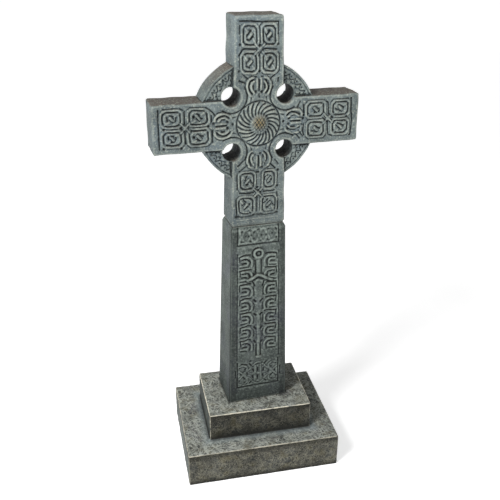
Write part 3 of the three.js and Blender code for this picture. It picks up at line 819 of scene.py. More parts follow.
knot_slots = [
    [(-5, 70), (1, 71.3), (7, 71)], [(-9.2, 61), (-7.4, 56)], [(0, 63), (0, 56.5)], [(10.4, 60), (10, 55)],
    [(-19.6, 55), (-19, 50.5)], [(19.6, 53.5), (19, 50)], [(-27, 48), (-24, 43)], [(-10, 47), (-9, 43)],
    [(0, 47), (0, 40)], [(9, 47), (10, 42)], [(22, 31.5), (30, 30)], [(-30, 31), (-21, 32.5)],
    [(-29, 74), (-20, 71)], [(27, 47), (24, 43)], [(-15, 73), (-10, 66.5)], [(15, 73), (10, 66.5)],
    [(-15, 33), (-10, 38)], [(15, 33), (10, 38)],
]
knot_pits = [
    (-13.5, 78), (-23, 63), (24, 61), (-31, 53), (31, 52), (25, 35), (-24, 36), (0, 32), (-33, 67),
    (33, 67), (-34, 40), (34, 40),
]
knot_strands = [
    [(-34, 60), (-25.5, 52.5), (-20, 44), (-20, 36), (-27, 31), (-35, 35)],
    [(-34, 44), (-25.5, 52.5), (-20, 61), (-20, 67), (-27, 71), (-35, 68)],
    [(34, 60), (25.5, 52.5), (20, 44), (20, 36), (27, 31), (35, 35)],
    [(34, 44), (25.5, 52.5), (20, 61), (20, 67), (27, 71), (35, 68)],
    [(-25, 56), (-15, 62), (-9, 69), (0, 74), (9, 69), (15, 62), (25, 56)],
    [(-25, 48), (-15, 43), (-9, 35), (0, 30.5), (9, 35), (15, 43), (25, 48)],
    [(-4.8, 68), (-4.8, 52), (-5.4, 38)], [(4.8, 68), (4.8, 52), (5.4, 38)], [(-14, 52), (0, 51.6), (14, 52)],
]

band_slots = [
    [(-14, 325), (-17, 323.5)], [(-2, 324.4), (1, 325)], [(16, 324), (20, 324)], [(28, 324), (30, 322)],
    [(-28, 305.4), (-24, 304.8)], [(-15, 306), (-12.5, 304)], [(15, 305.4), (18.5, 304.3)],
    [(-26, 300.5), (-18, 299), (-14, 299.6)], [(-10, 299.4), (-5, 299)], [(4, 300), (9, 299), (14, 299)],
    [(24, 300.6), (35, 299.3)], [(4.5, 314.4), (6, 313.4)],
]
band_pits = [
    (-27, 322.5), (-7.5, 320), (-16, 314), (-12, 315.5), (23, 315.5), (13, 314), (-7.5, 309.5), (3.5, 305),
    (30, 308), (-21, 314.5),
]
print("shaft drawn:", len(fret_tops), "key-pattern units a side,", len(knot_strands), "knot strands")

# %% Key pattern


def carve_fret_unit(relief, top, number, flip):
    """One hooked loop: a frame line above and outside, an inner line below, and a curled strand between them.

    No two are cut quite alike, so each line's points stray by about half a millimetre."""
    rng = np.random.default_rng(100 + 2 * number + flip)

    def draw(points, width=1.8, depth=2.0):
        line = curve(np.array(points) + rng.normal(scale=0.5, size=(len(points), 2)))
        relief.groove(flipped(line) if flip else line, width=width, depth=depth, shoulder=0.4)

    def raise_strand(points, width, rise):
        line = curve(points)
        relief.ridge(flipped(line) if flip else line, width=width, rise=rise)

    draw([(31, top - 1.5), (24, top - 0.3), (17, top), (12.5, top - 0.6)])
    draw([(31.3, top - 3), (31.3, top - 11)], depth=1.7)
    draw([(8.2, top - 8), (7.4, top - 14), (8, top - 22)], depth=1.1)
    draw([(27.5, top - 7.5), (22, top - 6.6), (17, top - 8.6), (14.4, top - 13), (14.2, top - 18),
          (16, top - 22.5)], width=1.5, depth=1.5)
    draw([(27, top - 14.2), (21.5, top - 14)], width=2.0)
    draw([(19, top - 21.6), (25, top - 21.8), (30, top - 21.4)], width=1.6, depth=1.3)
    if number > 1:
        draw([(4.4, top - 7), (6.6, top - 4)], width=3.2, depth=2.4)
    relief.pit((-21.5, top - 8) if flip else (21.5, top - 8), radius=1.4, depth=1.7)
    raise_strand([(29, top - 4.5), (22, top - 3.4), (15.5, top - 4.6), (11.6, top - 9), (10.6, top - 16),
                  (11.5, top - 21)], width=3.1, rise=0.9)
    raise_strand([(27, top - 10.5), (21.5, top - 10), (18.2, top - 13), (19, top - 17), (25, top - 18.2),
                  (31, top - 18.4)], width=2.8, rise=0.8)


print("key pattern climbs from", fret_tops[-1] - 22, "to", fret_tops[0], "mm")

# %% The hooded figure


def carve_figure(relief):
    """The ring and the hood lie over the cuts beside them, which are made shallow there."""
    head_place = 281.0
    relief.cut[np.hypot(relief.points[:, 0], relief.points[:, 1] - head_place) < 10] *= 0.2
    relief.ridge(arc((0.5, head_place + 1), 7.0, 0, 360, 36), width=4.0, rise=1.0)
    relief.ridge(arc((0.5, head_place + 1), 7.6, 40, 140, 16), width=3.4, rise=1.7)
    relief.groove(arc((0, head_place + 1), 10.4, 95, 215, 16), width=1.8, depth=1.5)
    relief.groove(arc((0.5, head_place + 1), 3.6, 0, 360, 20), width=2.0, depth=0.8)
    for points in ([(-5.2, 270), (-4.8, 262), (-4.6, 248)], [(5.6, 270), (6, 260), (5.8, 249)]):
        relief.groove(points, width=2.6, depth=1.9)
    relief.ridge([(0.4, 270), (0.4, 246)], width=6.0, rise=0.7)
    hood = [(-18.5, 236), (-8, 240.3), (0, 244.2), (8, 240.8), (15, 236.4), (23, 232.5)]
    body = np.abs(relief.points[:, 0] - 0.6) < 8.5 - 0.05 * (240 - relief.points[:, 1])
    relief.cut[body & (relief.points[:, 1] < 240) & (relief.points[:, 1] > 205)] *= 0.1
    relief.cut[distance_to_line(relief.points, hood) < 2.8] = 0
    relief.ridge(curve(hood), width=4.8, rise=2.8)
    relief.groove([(-12, 232.2), (0, 238.6), (9, 234.6), (19, 229)], width=2.2, depth=1.6)
    for share in np.linspace(0, 1, 30):
        width = 15 - 6.0 * min(share * 2.6, 1) - 3.4 * share
        up = 230 - share * (230 - 98)
        relief.ridge([(0.6, up), (0.6, up - 7)], width=width, rise=0.5 + 0.7 * share)
    for points in ([(-10, 233), (-5.8, 224)], [(10.4, 232), (7.6, 224)],
                   [(-3.2, 110), (-3.2, 89)], [(4, 112), (4.4, 89)]):
        relief.groove(points, width=2.3, depth=2.1)
    relief.ridge([(-1.5, 86), (4.5, 86)], width=5, rise=2.0)


print("figure ready")

# %% Front and back of the shaft


def carve_shaft_front(relief):
    for number, top in enumerate(fret_tops):
        for flip in (False, True):
            carve_fret_unit(relief, top, number, flip)
    for line in knot_strands:
        strand = curve(line)
        relief.groove(strand, width=6.0, depth=1.2, shoulder=0.2)
        relief.ridge(strand, width=3.4, rise=1.1)
    for line in knot_slots:
        relief.groove(curve(line), width=2.5, depth=2.2)
    for spot in knot_pits:
        relief.pit(spot, radius=1.8, depth=2.0)
    for phase in (0, 1):
        zigzag = [(-34 + 14 * i, (302.5, 326)[(i + phase) % 2]) for i in range(6)]
        relief.ridge(curve(zigzag), width=4.6, rise=0.5)
    for line in band_slots:
        relief.groove(line, width=2.0, depth=1.3)
    for spot in band_pits:
        relief.pit(spot, radius=1.5, depth=1.2)
    for low, high, half in ((27, 77, 37.5), (299, 328.5, 34.5)):
        for sign in (-1, 1):
            relief.groove([(sign * half, low), (sign * (half - 0.8), high)], width=2.4, depth=2.0)
    for points in ([(-40, 62), (-40, 49)], [(40.4, 59), (40, 43)]):
        relief.groove(points, width=2.2, depth=1.8)
    relief.groove([(-37.5, 27), (37.5, 27)], width=3.0, depth=1.8)
    relief.groove([(-34.5, 299), (34.5, 299)], width=2.6, depth=1.8)
    for sign in (-1, 1):
        relief.groove([(sign * 37.5, 84), (sign * 34.8, 284)], width=1.8, depth=1.2)
    carve_figure(relief)


def carve_shaft_back(relief):
    for low, high in ((27, 77), (91, 281.5), (301.5, 326.5)):
        low_half = 39 - low * 0.0212
        high_half = 39 - high * 0.0212
        frame_line = [(-low_half, low), (low_half, low), (high_half, high), (-high_half, high)]
        relief.groove(frame_line, width=3.2, depth=1.7, closed=True)


print("shaft carving ready")

# %% [markdown]
# ## Shaft
#
# The shaft is a block that tapers on all four sides. Its skin is one grid wrapped round it, level by level,
# fine on the front and coarser on the other sides, with its arrises rounded by wear and a bevel under the
# head.

# %% Build the shaft


def shaft_at(up):
    share = up / shaft_height
    sizes = [foot + (shaft_top[key] - foot) * share for key, foot in shaft_foot.items()]
    inset = seam_inset * np.clip((up - shaft_height + seam_height) / seam_height, 0, 1)
    return [size - inset for size in sizes]


def build_shaft():
    ups = np.linspace(0, shaft_height, 336)
    front_columns, side_columns, back_columns = 120, 26, 40
    quarter = np.radians([22.5, 45, 67.5])
    rounded = [(1 - math.sin(angle), 1 - math.cos(angle)) for angle in quarter]
    swapped = [(near_y, near_x) for near_x, near_y in rounded]
    ring = [("front", x, None) for x in np.linspace(-1, 1, front_columns)]
    ring += [("corner", (1, -1), near) for near in swapped]
    ring += [("side", 1, y) for y in np.linspace(0, 1, side_columns)]
    ring += [("corner", (1, 1), near) for near in rounded]
    ring += [("back", x, None) for x in np.linspace(1, -1, back_columns)]
    ring += [("corner", (-1, 1), near) for near in swapped]
    ring += [("side", -1, y) for y in np.linspace(1, 0, side_columns)]
    ring += [("corner", (-1, -1), near) for near in rounded]

    half, front, back = shaft_at(ups)
    columns = []
    for kind, first, second in ring:
        if kind in ("front", "back"):
            x = first * (half - arris)
            y = -front if kind == "front" else back
        elif kind == "side":
            x = first * half
            y = -front + arris + second * (front + back - 2 * arris)
        else:
            x = first[0] * (half - arris * second[0])
            y = (-front if first[1] < 0 else back) - first[1] * arris * second[1]
        columns.append(np.stack([x, y, ups], axis=1))
    grid = np.stack(columns, axis=1)

    kinds = np.array([entry[0] for entry in ring])
    on_front = np.flatnonzero(kinds == "front")
    face = grid[:, on_front].reshape(-1, 3)
    relief = Relief(face[:, [0, 2]])
    carve_shaft_front(relief)
    height = relief.height() + 0.18 * lumps(relief.points, 8, 7) + 0.1 * lumps(relief.points, 4, 8)
    edge = np.clip((np.repeat(half, len(on_front)) - arris - np.abs(face[:, 0])) / 3, 0, 1)
    grid[:, on_front, 1] -= (height * edge).reshape(len(ups), -1)

    on_back = np.flatnonzero(kinds == "back")
    face = grid[:, on_back].reshape(-1, 3)
    relief = Relief(face[:, [0, 2]] * (-1, 1))
    carve_shaft_back(relief)
    edge = np.clip((np.repeat(half, len(on_back)) - arris - np.abs(face[:, 0])) / 3, 0, 1)
    grid[:, on_back, 1] += (relief.height() * edge).reshape(len(ups), -1)

    around = len(ring)
    faces = []
    for row in range(len(ups) - 1):
        for column in range(around):
            after = (column + 1) % around
            faces.append((row * around + column, row * around + after,
                          (row + 1) * around + after, (row + 1) * around + column))
    faces.append(tuple(reversed(range(around))))
    top = (len(ups) - 1) * around
    faces.append(tuple(range(top, top + around)))
    return make_mesh("carved_shaft", in_place(grid.reshape(-1, 3), shaft_up), faces)


shaft = build_shaft()
print("shaft:", len(shaft.data.vertices), "vertices,", len(shaft.data.polygons), "faces")

# %% [markdown]
# ## Stepped base
#
# The base is one casting: a block with a smaller block on it. A cube is scaled to the lower step, its top
# face is inset and drawn up into the upper step, and the arrises are bevelled. An even remesh then gives it
# enough points for the lumpy, hatched surface, which two displacements put on.

# %% Build the base


def only(piece):
    bpy.ops.object.select_all(action="DESELECT")
    piece.select_set(True)
    bpy.context.view_layer.objects.active = piece


def build_base():
    bpy.ops.mesh.primitive_cube_add(size=1, location=(0, 0, base_lower["height"] / 2 * MM))
    base = bpy.context.active_object
    base.name = base.data.name = "base"
    base.scale = [base_lower[key] * MM for key in ("width", "depth", "height")]
    bpy.ops.object.transform_apply(location=True, rotation=True, scale=True)
    only(base)
    bpy.ops.object.mode_set(mode="EDIT")
    bpy.ops.mesh.select_all(action="DESELECT")
    bpy.ops.object.mode_set(mode="OBJECT")
    for face in base.data.polygons:
        face.select = face.normal.z > 0.9
    bpy.ops.object.mode_set(mode="EDIT")
    bpy.ops.mesh.select_mode(type="FACE")
    inset = 20
    bpy.ops.mesh.inset(thickness=inset * MM)
    shrink = [base_upper[key] / (base_lower[key] - 2 * inset) for key in ("width", "depth")]
    bpy.ops.transform.resize(value=(*shrink, 1))
    bpy.ops.mesh.extrude_region_move(TRANSFORM_OT_translate={"value": (0, 0, base_upper["height"] * MM)})
    bpy.ops.object.mode_set(mode="OBJECT")

    bevel = base.modifiers.new("worn_arrises", "BEVEL")
    bevel.width = 1.8 * MM
    bevel.segments = 3
    bevel.limit_method = "ANGLE"
    bevel.angle_limit = math.radians(60)
    bpy.ops.object.modifier_apply(modifier=bevel.name)
    remesh = base.modifiers.new("even_grid", "REMESH")
    remesh.mode = "VOXEL"
    remesh.voxel_size = 1.75 * MM
    bpy.ops.object.modifier_apply(modifier=remesh.name)
    for name, size, strength in (("lumps", 18, 0.8), ("hatch", 5, 0.6)):
        texture = bpy.data.textures.new(name, "CLOUDS")
        texture.noise_scale = size * MM
        texture.noise_depth = 2
        displace = base.modifiers.new(name, "DISPLACE")
        displace.texture = texture
        displace.texture_coords = "LOCAL"
        displace.strength = strength * MM
        displace.mid_level = 0.5
        bpy.ops.object.modifier_apply(modifier=displace.name)
    points = mesh_points(base.data)
    points[points[:, 2] < 1.5 * MM, 2] = 0
    base.data.vertices.foreach_set("co", points.ravel())
    base.data.update()
    return base


base = build_base()
print("base:", len(base.data.vertices), "vertices,", len(base.data.polygons), "faces")

# %% [markdown]
# ## Wear, dirt, painted shade and painted highlight
#
# The grooves are painted dark, partly as dirt and partly as painted shade, and the high ridges are rubbed
# pale, partly as wear and partly as painted highlight. Each piece gets a map of this from its own shape: its
# points are smoothed a few times, and how far a point lies below or above the smoothed skin says how hollow
# or how proud it is. The walls of the holes count as hollow, so that they are painted dark as shadow, and the
# head's arrises as less proud than they are, so that they are painted less pale than the carving. The
# materials read the map as the attribute called carved, and another one called border marks the plain borders
# of the shaft's panels.

# %% Shade smooth and map the wear, dirt, painted shade and painted highlight


def hollowness(piece, rounds):
    """How far each point lies below the smoothed skin, in mm; above it is negative."""
    mesh = piece.data
    count = len(mesh.vertices)
    points = mesh_points(mesh)
    edges = np.empty(len(mesh.edges) * 2, dtype=int)
    mesh.edges.foreach_get("vertices", edges)
    ends = np.concatenate([edges.reshape(-1, 2), edges.reshape(-1, 2)[:, ::-1]])
    neighbours = np.bincount(ends[:, 0], minlength=count)
    normals = np.empty(count * 3)
    mesh.vertex_normals.foreach_get("vector", normals)
    smooth = points.copy()
    for _ in range(rounds):
        sums = [np.bincount(ends[:, 0], weights=axis, minlength=count) for axis in smooth[ends[:, 1]].T]
        smooth = np.stack(sums, axis=1) / neighbours[:, None]
    return ((smooth - points) * normals.reshape(-1, 3)).sum(axis=1) / MM


def own_axes(piece):
    """The piece's points in mm along the cross's own axes: across, back and up."""
    x, y, z = mesh_points(piece.data).T / MM
    return (x * math.cos(cross_turn) + y * math.sin(cross_turn),
            -x * math.sin(cross_turn) + y * math.cos(cross_turn), z)


def hole_shadow_mask(piece):
    """1 on the walls of the four holes, which are painted dark as shadow, and 0 elsewhere."""
    across, deep, up = own_axes(piece)
    gap = from_holes(np.stack([across, up - head_up], axis=1))
    return np.clip(1 - gap / 0.4, 0, 1) * np.clip((head_half_depth - 2 - np.abs(deep)) / 2, 0, 1)


def at_arris(piece):
    """Whether a point lies at the head's outline, where the arrises get less pale rub and painted highlight
    than the carving.
    """
    across, _, up = own_axes(piece)
    places = np.stack([across, up - head_up], axis=1)
    return np.minimum(inside_head(places), inside_cross(places)) < 1.6


def outside_panels(piece):
    """1 on the plain borders left and right of the shaft's front panels, which are painted darker, and 0
    elsewhere.
    """
    across, deep, up = own_axes(piece)
    panel_half = 39 - 0.014 * (up - shaft_up)
    return np.clip((np.abs(across) - panel_half) / 2, 0, 1) * (deep < -shaft_top["front"] + 3)


hole_shadow_depth, arris_proud, most_hollow = 0.5, 0.4, 1.5
for piece, rounds in ((head, 10), (shaft, 10), (base, 6)):
    only(piece)
    bpy.ops.object.shade_smooth_by_angle(angle=math.radians(50))
    hollow = hollowness(piece, rounds)
    if piece == head:
        # The holes' walls count as hollow, so that the dark coat of the carving paints shadow on them
        shadowed_walls = hole_shadow_mask(piece)
        hollow = np.where(shadowed_walls > 0, np.maximum(hollow, hole_shadow_depth * shadowed_walls), hollow)
        hollow = np.where(at_arris(piece), np.maximum(hollow, -arris_proud), hollow)
    if piece == shaft:
        border = piece.data.attributes.new("border", "FLOAT", "POINT")
        border.data.foreach_set("value", outside_panels(piece).astype(np.float32))
    attribute = piece.data.attributes.new("carved", "FLOAT", "POINT")
    attribute.data.foreach_set("value", np.clip(hollow, -most_hollow, most_hollow).astype(np.float32))
    print(piece.name, "hollow by", round(float(np.percentile(hollow, 98)), 2), "mm, proud by",
          round(float(-np.percentile(hollow, 2)), 2), "mm")

# %% [markdown]
# ## Materials
#
# All three are the same kind of casting: stone resin, moulded, then painted with a grey-green, weathered
# finish. Dark wash lies in the hollows, partly as painted shade, and the ridges are rubbed pale, partly as
# painted highlight. The base is browner and brushed in short crossing strokes. Paint like this is laid in
# coats, so each material starts from one colour and lays coat after coat over it, each with a share between
# 0 and 1 that comes from noise, from the wear map or from the place on the piece. Stone resin is a
# mineral-filled plastic: no metal, quite rough, with only a weak gloss.

# %% Nodes


def colour(code):
    """An sRGB colour code as linear values."""
    parts = [int(code[i:i + 2], 16) / 255 for i in (1, 3, 5)]
    linear = [part / 12.92 if part <= 0.04045 else ((part + 0.055) / 1.055) ** 2.4 for part in parts]
    return linear + [1.0]


def fill(socket, value):
    """Links a socket to the one that is given, or sets its value."""
    if isinstance(value, bpy.types.NodeSocket):
        socket.id_data.links.new(value, socket)
    else:
        socket.default_value = value


def add_node(tree, kind, *inputs, output=0, **options):
    """Adds a node with its settings and links, and returns one of its outputs.

    Inputs fill the sockets in order. An option with a capital names a socket, and any other is a setting."""
    node = tree.nodes.new("ShaderNode" + kind)
    named = {key: value for key, value in options.items() if key[0].isupper()}
    for key, value in options.items():
        if key not in named:
            setattr(node, key, value)
    for socket, value in zip([socket for socket in node.inputs if socket.enabled], inputs):
        fill(socket, value)
    for key, value in named.items():
        fill(node.inputs[key], value)
    return [socket for socket in node.outputs if socket.enabled][output]


def new_material(name):
    """A material, its shader node, and add_node for its own tree."""
    material = bpy.data.materials.new(name)
    material.use_nodes = True
    return material, material.node_tree.nodes["Principled BSDF"], partial(add_node, material.node_tree)


def patches(add, place, size, low, high, least=0.0, most=1.0, detail=3.0, roughness=0.55):
    """Cloudy patches of a size in mm: a share that goes from least to most between two noise levels."""
    cloud = add("TexNoise", place, 1000 / size, detail, roughness)
    return add("MapRange", cloud, low, high, least, most)


print("node tools ready")

# %% [markdown]
# ## The carved stone of the cross
#
# The finish is mottled grey-green paint with a dark wash that was wiped off the front, so that it stays in
# the carving, and pale dry-brushed ridges; the dark in the carving is partly painted shade and the pale
# ridges partly painted highlight. The wash and the brushing follow the wear map. The flat sides are brushed
# little and level tops hold brown dust. The stone is painted darker towards the foot, and the flat sides
# darker low down, as painted shade. Fine specks and pores of 2 to 4 mm are as small as the photograph shows
# them.

# %% Carved stone


def carved_stone(name, paint):
    """Painted stone resin with a carved relief. Heights and places in the paint's list are in metres."""
    material, shader, add = new_material(name)
    place = add("TexCoord", output=3)
    facing = add("NewGeometry", output=1)
    height = add("SeparateXYZ", place, output=2)
    sideways = add("Math", add("SeparateXYZ", facing, output=0), operation="ABSOLUTE")
    frontward = add("Math", add("SeparateXYZ", facing, output=1), operation="ABSOLUTE")
    upward = add("SeparateXYZ", facing, output=2)
    carved = add("Attribute", output=2, attribute_name="carved")

    groove_wash_and_shade = patches(add, place, 11, 0.35, 0.6, 0.7, 0.96)
    rub_and_highlight = add("MapRange", carved, paint["rub_highlight_from"], paint["rub_highlight_to"], 0.0, paint["rub_highlight_share"])
    limits = [patches(add, place, 7, 0.3, 0.56, detail=4, roughness=0.65),
              add("MapRange", frontward, 0.3, 0.6, 0.05, 1.0)]
    if "gilded_spot" in paint:
        away = add("VectorMath", place, paint["gilded_spot"], operation="DISTANCE")
        limits.append(add("MapRange", away, 8 * MM, 20 * MM))
        limits.append(add("MapRange", away, 65 * MM, 85 * MM, 1.0, 0.62))
    for limit in limits:
        rub_and_highlight = add("Math", rub_and_highlight, limit, operation="MULTIPLY")
    coats = [
        (patches(add, place, 30, 0.4, 0.62), "plain"),
        (patches(add, place, 48, 0.48, 0.68, most=0.6, detail=2), "cool"),
        (add("MapRange", upward, 0.5, 0.9, 0.0, 0.85), "warm"),
        (patches(add, place, 2.6, 0.53, 0.66, most=0.6, detail=4, roughness=0.65), "ridge"),
        (patches(add, place, 3.6, 0.52, 0.64, most=0.6, detail=5, roughness=0.7), "dark"),
        # Dark in the carving: partly a real wash and partly painted shade; on the holes' walls painted shadow
        # only
        (add("MapRange", carved, 0.06, 0.46, 0.0, groove_wash_and_shade), "groove"),
        # Pale on proud ridges: partly rubbed wear and partly painted highlight
        (rub_and_highlight, "ridge"),
    ]
    if "gilded_spot" in paint:
        proud = add("MapRange", carved, 0.2, 0.0, 0.0, 0.75)
        coats.append((add("MapRange", away, 13 * MM, 4 * MM, 0.0, proud), "gilded"))
    surface = colour(paint["dark"])
    for share, part in coats:
        surface = add("Mix", share, surface, colour(paint[part]), data_type="RGBA")

    # Painted shade: darker towards the foot, and on the flat sides low down; the borders of the shaft's
    # panels are painted darker too
    flank_painted_shade = add("MapRange", height, *paint["side_up"], paint["side_painted_shade"], 0.88)
    border = add("Attribute", output=2, attribute_name="border")
    for shade in (add("MapRange", height, *paint["foot_up"], paint["foot_painted_shade"], 1.0),
                  add("MapRange", sideways, 0.6, 0.9, 1.0, flank_painted_shade),
                  add("MapRange", border, 0.0, 1.0, 1.0, 0.62)):
        surface = add("VectorMath", surface, shade, operation="SCALE")

    fine = add("TexNoise", place, 1000 / 1.6, 5, 0.7)
    grain = add("Math", fine, add("TexNoise", place, 1000 / 5, 3, 0.55), operation="ADD")
    fill(shader.inputs["Base Color"], surface)
    fill(shader.inputs["Roughness"], patches(add, place, 7, 0.0, 1.0, 0.55, 0.85))
    fill(shader.inputs["Specular IOR Level"], 0.2)
    fill(shader.inputs["Normal"], add("Bump", Strength=1.0, Distance=1.4 * MM, Height=grain))
    return material


cross_paint = {
    "plain": "#778281", "dark": "#5a6465", "cool": "#69777f", "warm": "#61564c", "groove": "#15191a",
    "ridge": "#bfc4b6", "gilded": "#8f7d55", "rub_highlight_from": -0.18, "rub_highlight_to": -0.72, "rub_highlight_share": 0.6,
    "foot_up": (0.44, 0.72), "foot_painted_shade": 0.73, "side_up": (0.62, 0.70), "side_painted_shade": 0.72,
    "gilded_spot": (0.0015, -0.033, (head_up + 3) * MM),
}
shaft_paint = {
    "plain": "#5a625e", "dark": "#434a47", "cool": "#4b4e57", "warm": "#5b534a", "groove": "#0e1011",
    "ridge": "#87918a", "rub_highlight_from": -0.04, "rub_highlight_to": -0.36, "rub_highlight_share": 0.95,
    "foot_up": (0.12, 0.40), "foot_painted_shade": 0.62, "side_up": (0.46, 0.47), "side_painted_shade": 0.95,
}
cross_stone = carved_stone("weathered_cross_stone", cross_paint)
shaft_stone = carved_stone("weathered_shaft_stone", shaft_paint)
print("carved stone:", len(cross_stone.node_tree.nodes), "nodes on the head,",
      len(shaft_stone.node_tree.nodes), "on the shaft")

# %% [markdown]
# ## The brushed stone of the base
#
# The base is the same resin in slate-brown, brushed in short crossing strokes with dust between them. The
# strokes lie flat on the level tops and lean on the upright sides, so there is a set of them for each.
# Every coat has two colours, one for the upright sides and one for the tops, which are dustier and painted
# lighter as painted light. The arrises are rubbed pale, partly as wear and partly as painted highlight, and
# painted shade lies under each arris, in the corners and at the ground.

# %% Brush strokes
brush_turns = {
    "upright": ((0, 0.7, 0.8), (0, -0.8, 0.7), (0, 1.3, -0.6)),
    "level": ((0, 1.57, 0.5), (0, 1.57, -0.9), (0, 1.57, 1.9)),
}


def brush_strokes(add, place, level):
    """Strokes and thin bright scratches; the strokes are 2.3 mm wide and over three times as long.

    A swirl bends them a little."""
    swirl = add("TexNoise", place, 1000 / 45, 1.0, output=1)
    swirl = add("VectorMath", swirl, 0.03, operation="SCALE")
    swirled = add("VectorMath", place, swirl, operation="ADD")
    strokes, scratches = [], []
    for turns in brush_turns.values():
        stroke = scratch = 0.0
        for turn in turns:
            aligned = add("Mapping", swirled, Rotation=turn, Scale=(1.0, 1.0, 3.4), vector_type="TEXTURE")
            fine = add("TexNoise", aligned, 1000 / 2.3, 2, 0.6)
            stroke = add("Math", stroke, fine, operation="MAXIMUM")
            streak = add("TexNoise", aligned, 1000 / 6.5, 1, 0.55)
            streak = add("Math", streak, 0.5, operation="SUBTRACT")
            line = add("MapRange", add("Math", streak, operation="ABSOLUTE"), 0.045, 0.01)
            scratch = add("Math", scratch, line, operation="MAXIMUM")
        strokes.append(stroke)
        scratches.append(scratch)
    bright = add("MapRange", level, 0.0, 1.0, *scratches)
    for limit in (patches(add, place, 14, 0.25, 0.55), add("MapRange", level, 0.0, 1.0, 0.5, 0.7)):
        bright = add("Math", bright, limit, operation="MULTIPLY")
    return add("MapRange", level, 0.0, 1.0, *strokes), bright


print("brush crosses in", len(brush_turns["level"]), "directions")

# %% Pale arrises: wear and painted highlight


def past_walls(add, across, deep, half, front, back):
    """How far a point lies past a block's side walls, and past its front or back."""
    aside = add("Math", across, operation="ABSOLUTE")
    beside = add("Math", aside, half * MM, operation="SUBTRACT")
    before = add("Math", -front * MM, deep, operation="SUBTRACT")
    behind = add("Math", deep, back * MM, operation="SUBTRACT")
    return beside, add("Math", before, behind, operation="MAXIMUM")


def arris_wear_and_highlight(add, across, deep, height):
    """The edges of each step's top, and its upright corners half as much, painted pale: partly wear, partly
    painted highlight.
    """
    rub_and_highlight = 0.0
    for step, top, most in ((base_lower, base_lower["height"], 0.57), (base_upper, base_height, 0.95)):
        walls = past_walls(add, across, deep, step["width"] / 2, step["depth"] / 2, step["depth"] / 2)
        over_top = add("Math", height, top * MM, operation="SUBTRACT")
        outside = add("Math", *walls, operation="MAXIMUM")
        near_top = add("Math", outside, over_top, operation="MINIMUM")
        near_corner = add("Math", *walls, operation="MINIMUM")
        over_foot = add("Math", height, (top - step["height"] + 3) * MM, operation="SUBTRACT")
        for limit in (over_foot, add("Math", (top + 2) * MM, height, operation="SUBTRACT")):
            near_corner = add("Math", near_corner, limit, operation="MINIMUM")
        for near, start, share in ((near_top, -1.7, most), (near_corner, -1.6, most / 2)):
            line = add("MapRange", near, start * MM, -0.9 * MM, 0.0, share)
            rub_and_highlight = add("Math", rub_and_highlight, line, operation="MAXIMUM")
    return rub_and_highlight


print("arrises are rubbed at", base_lower["height"], "and", base_height, "mm")

# %% Brushed stone


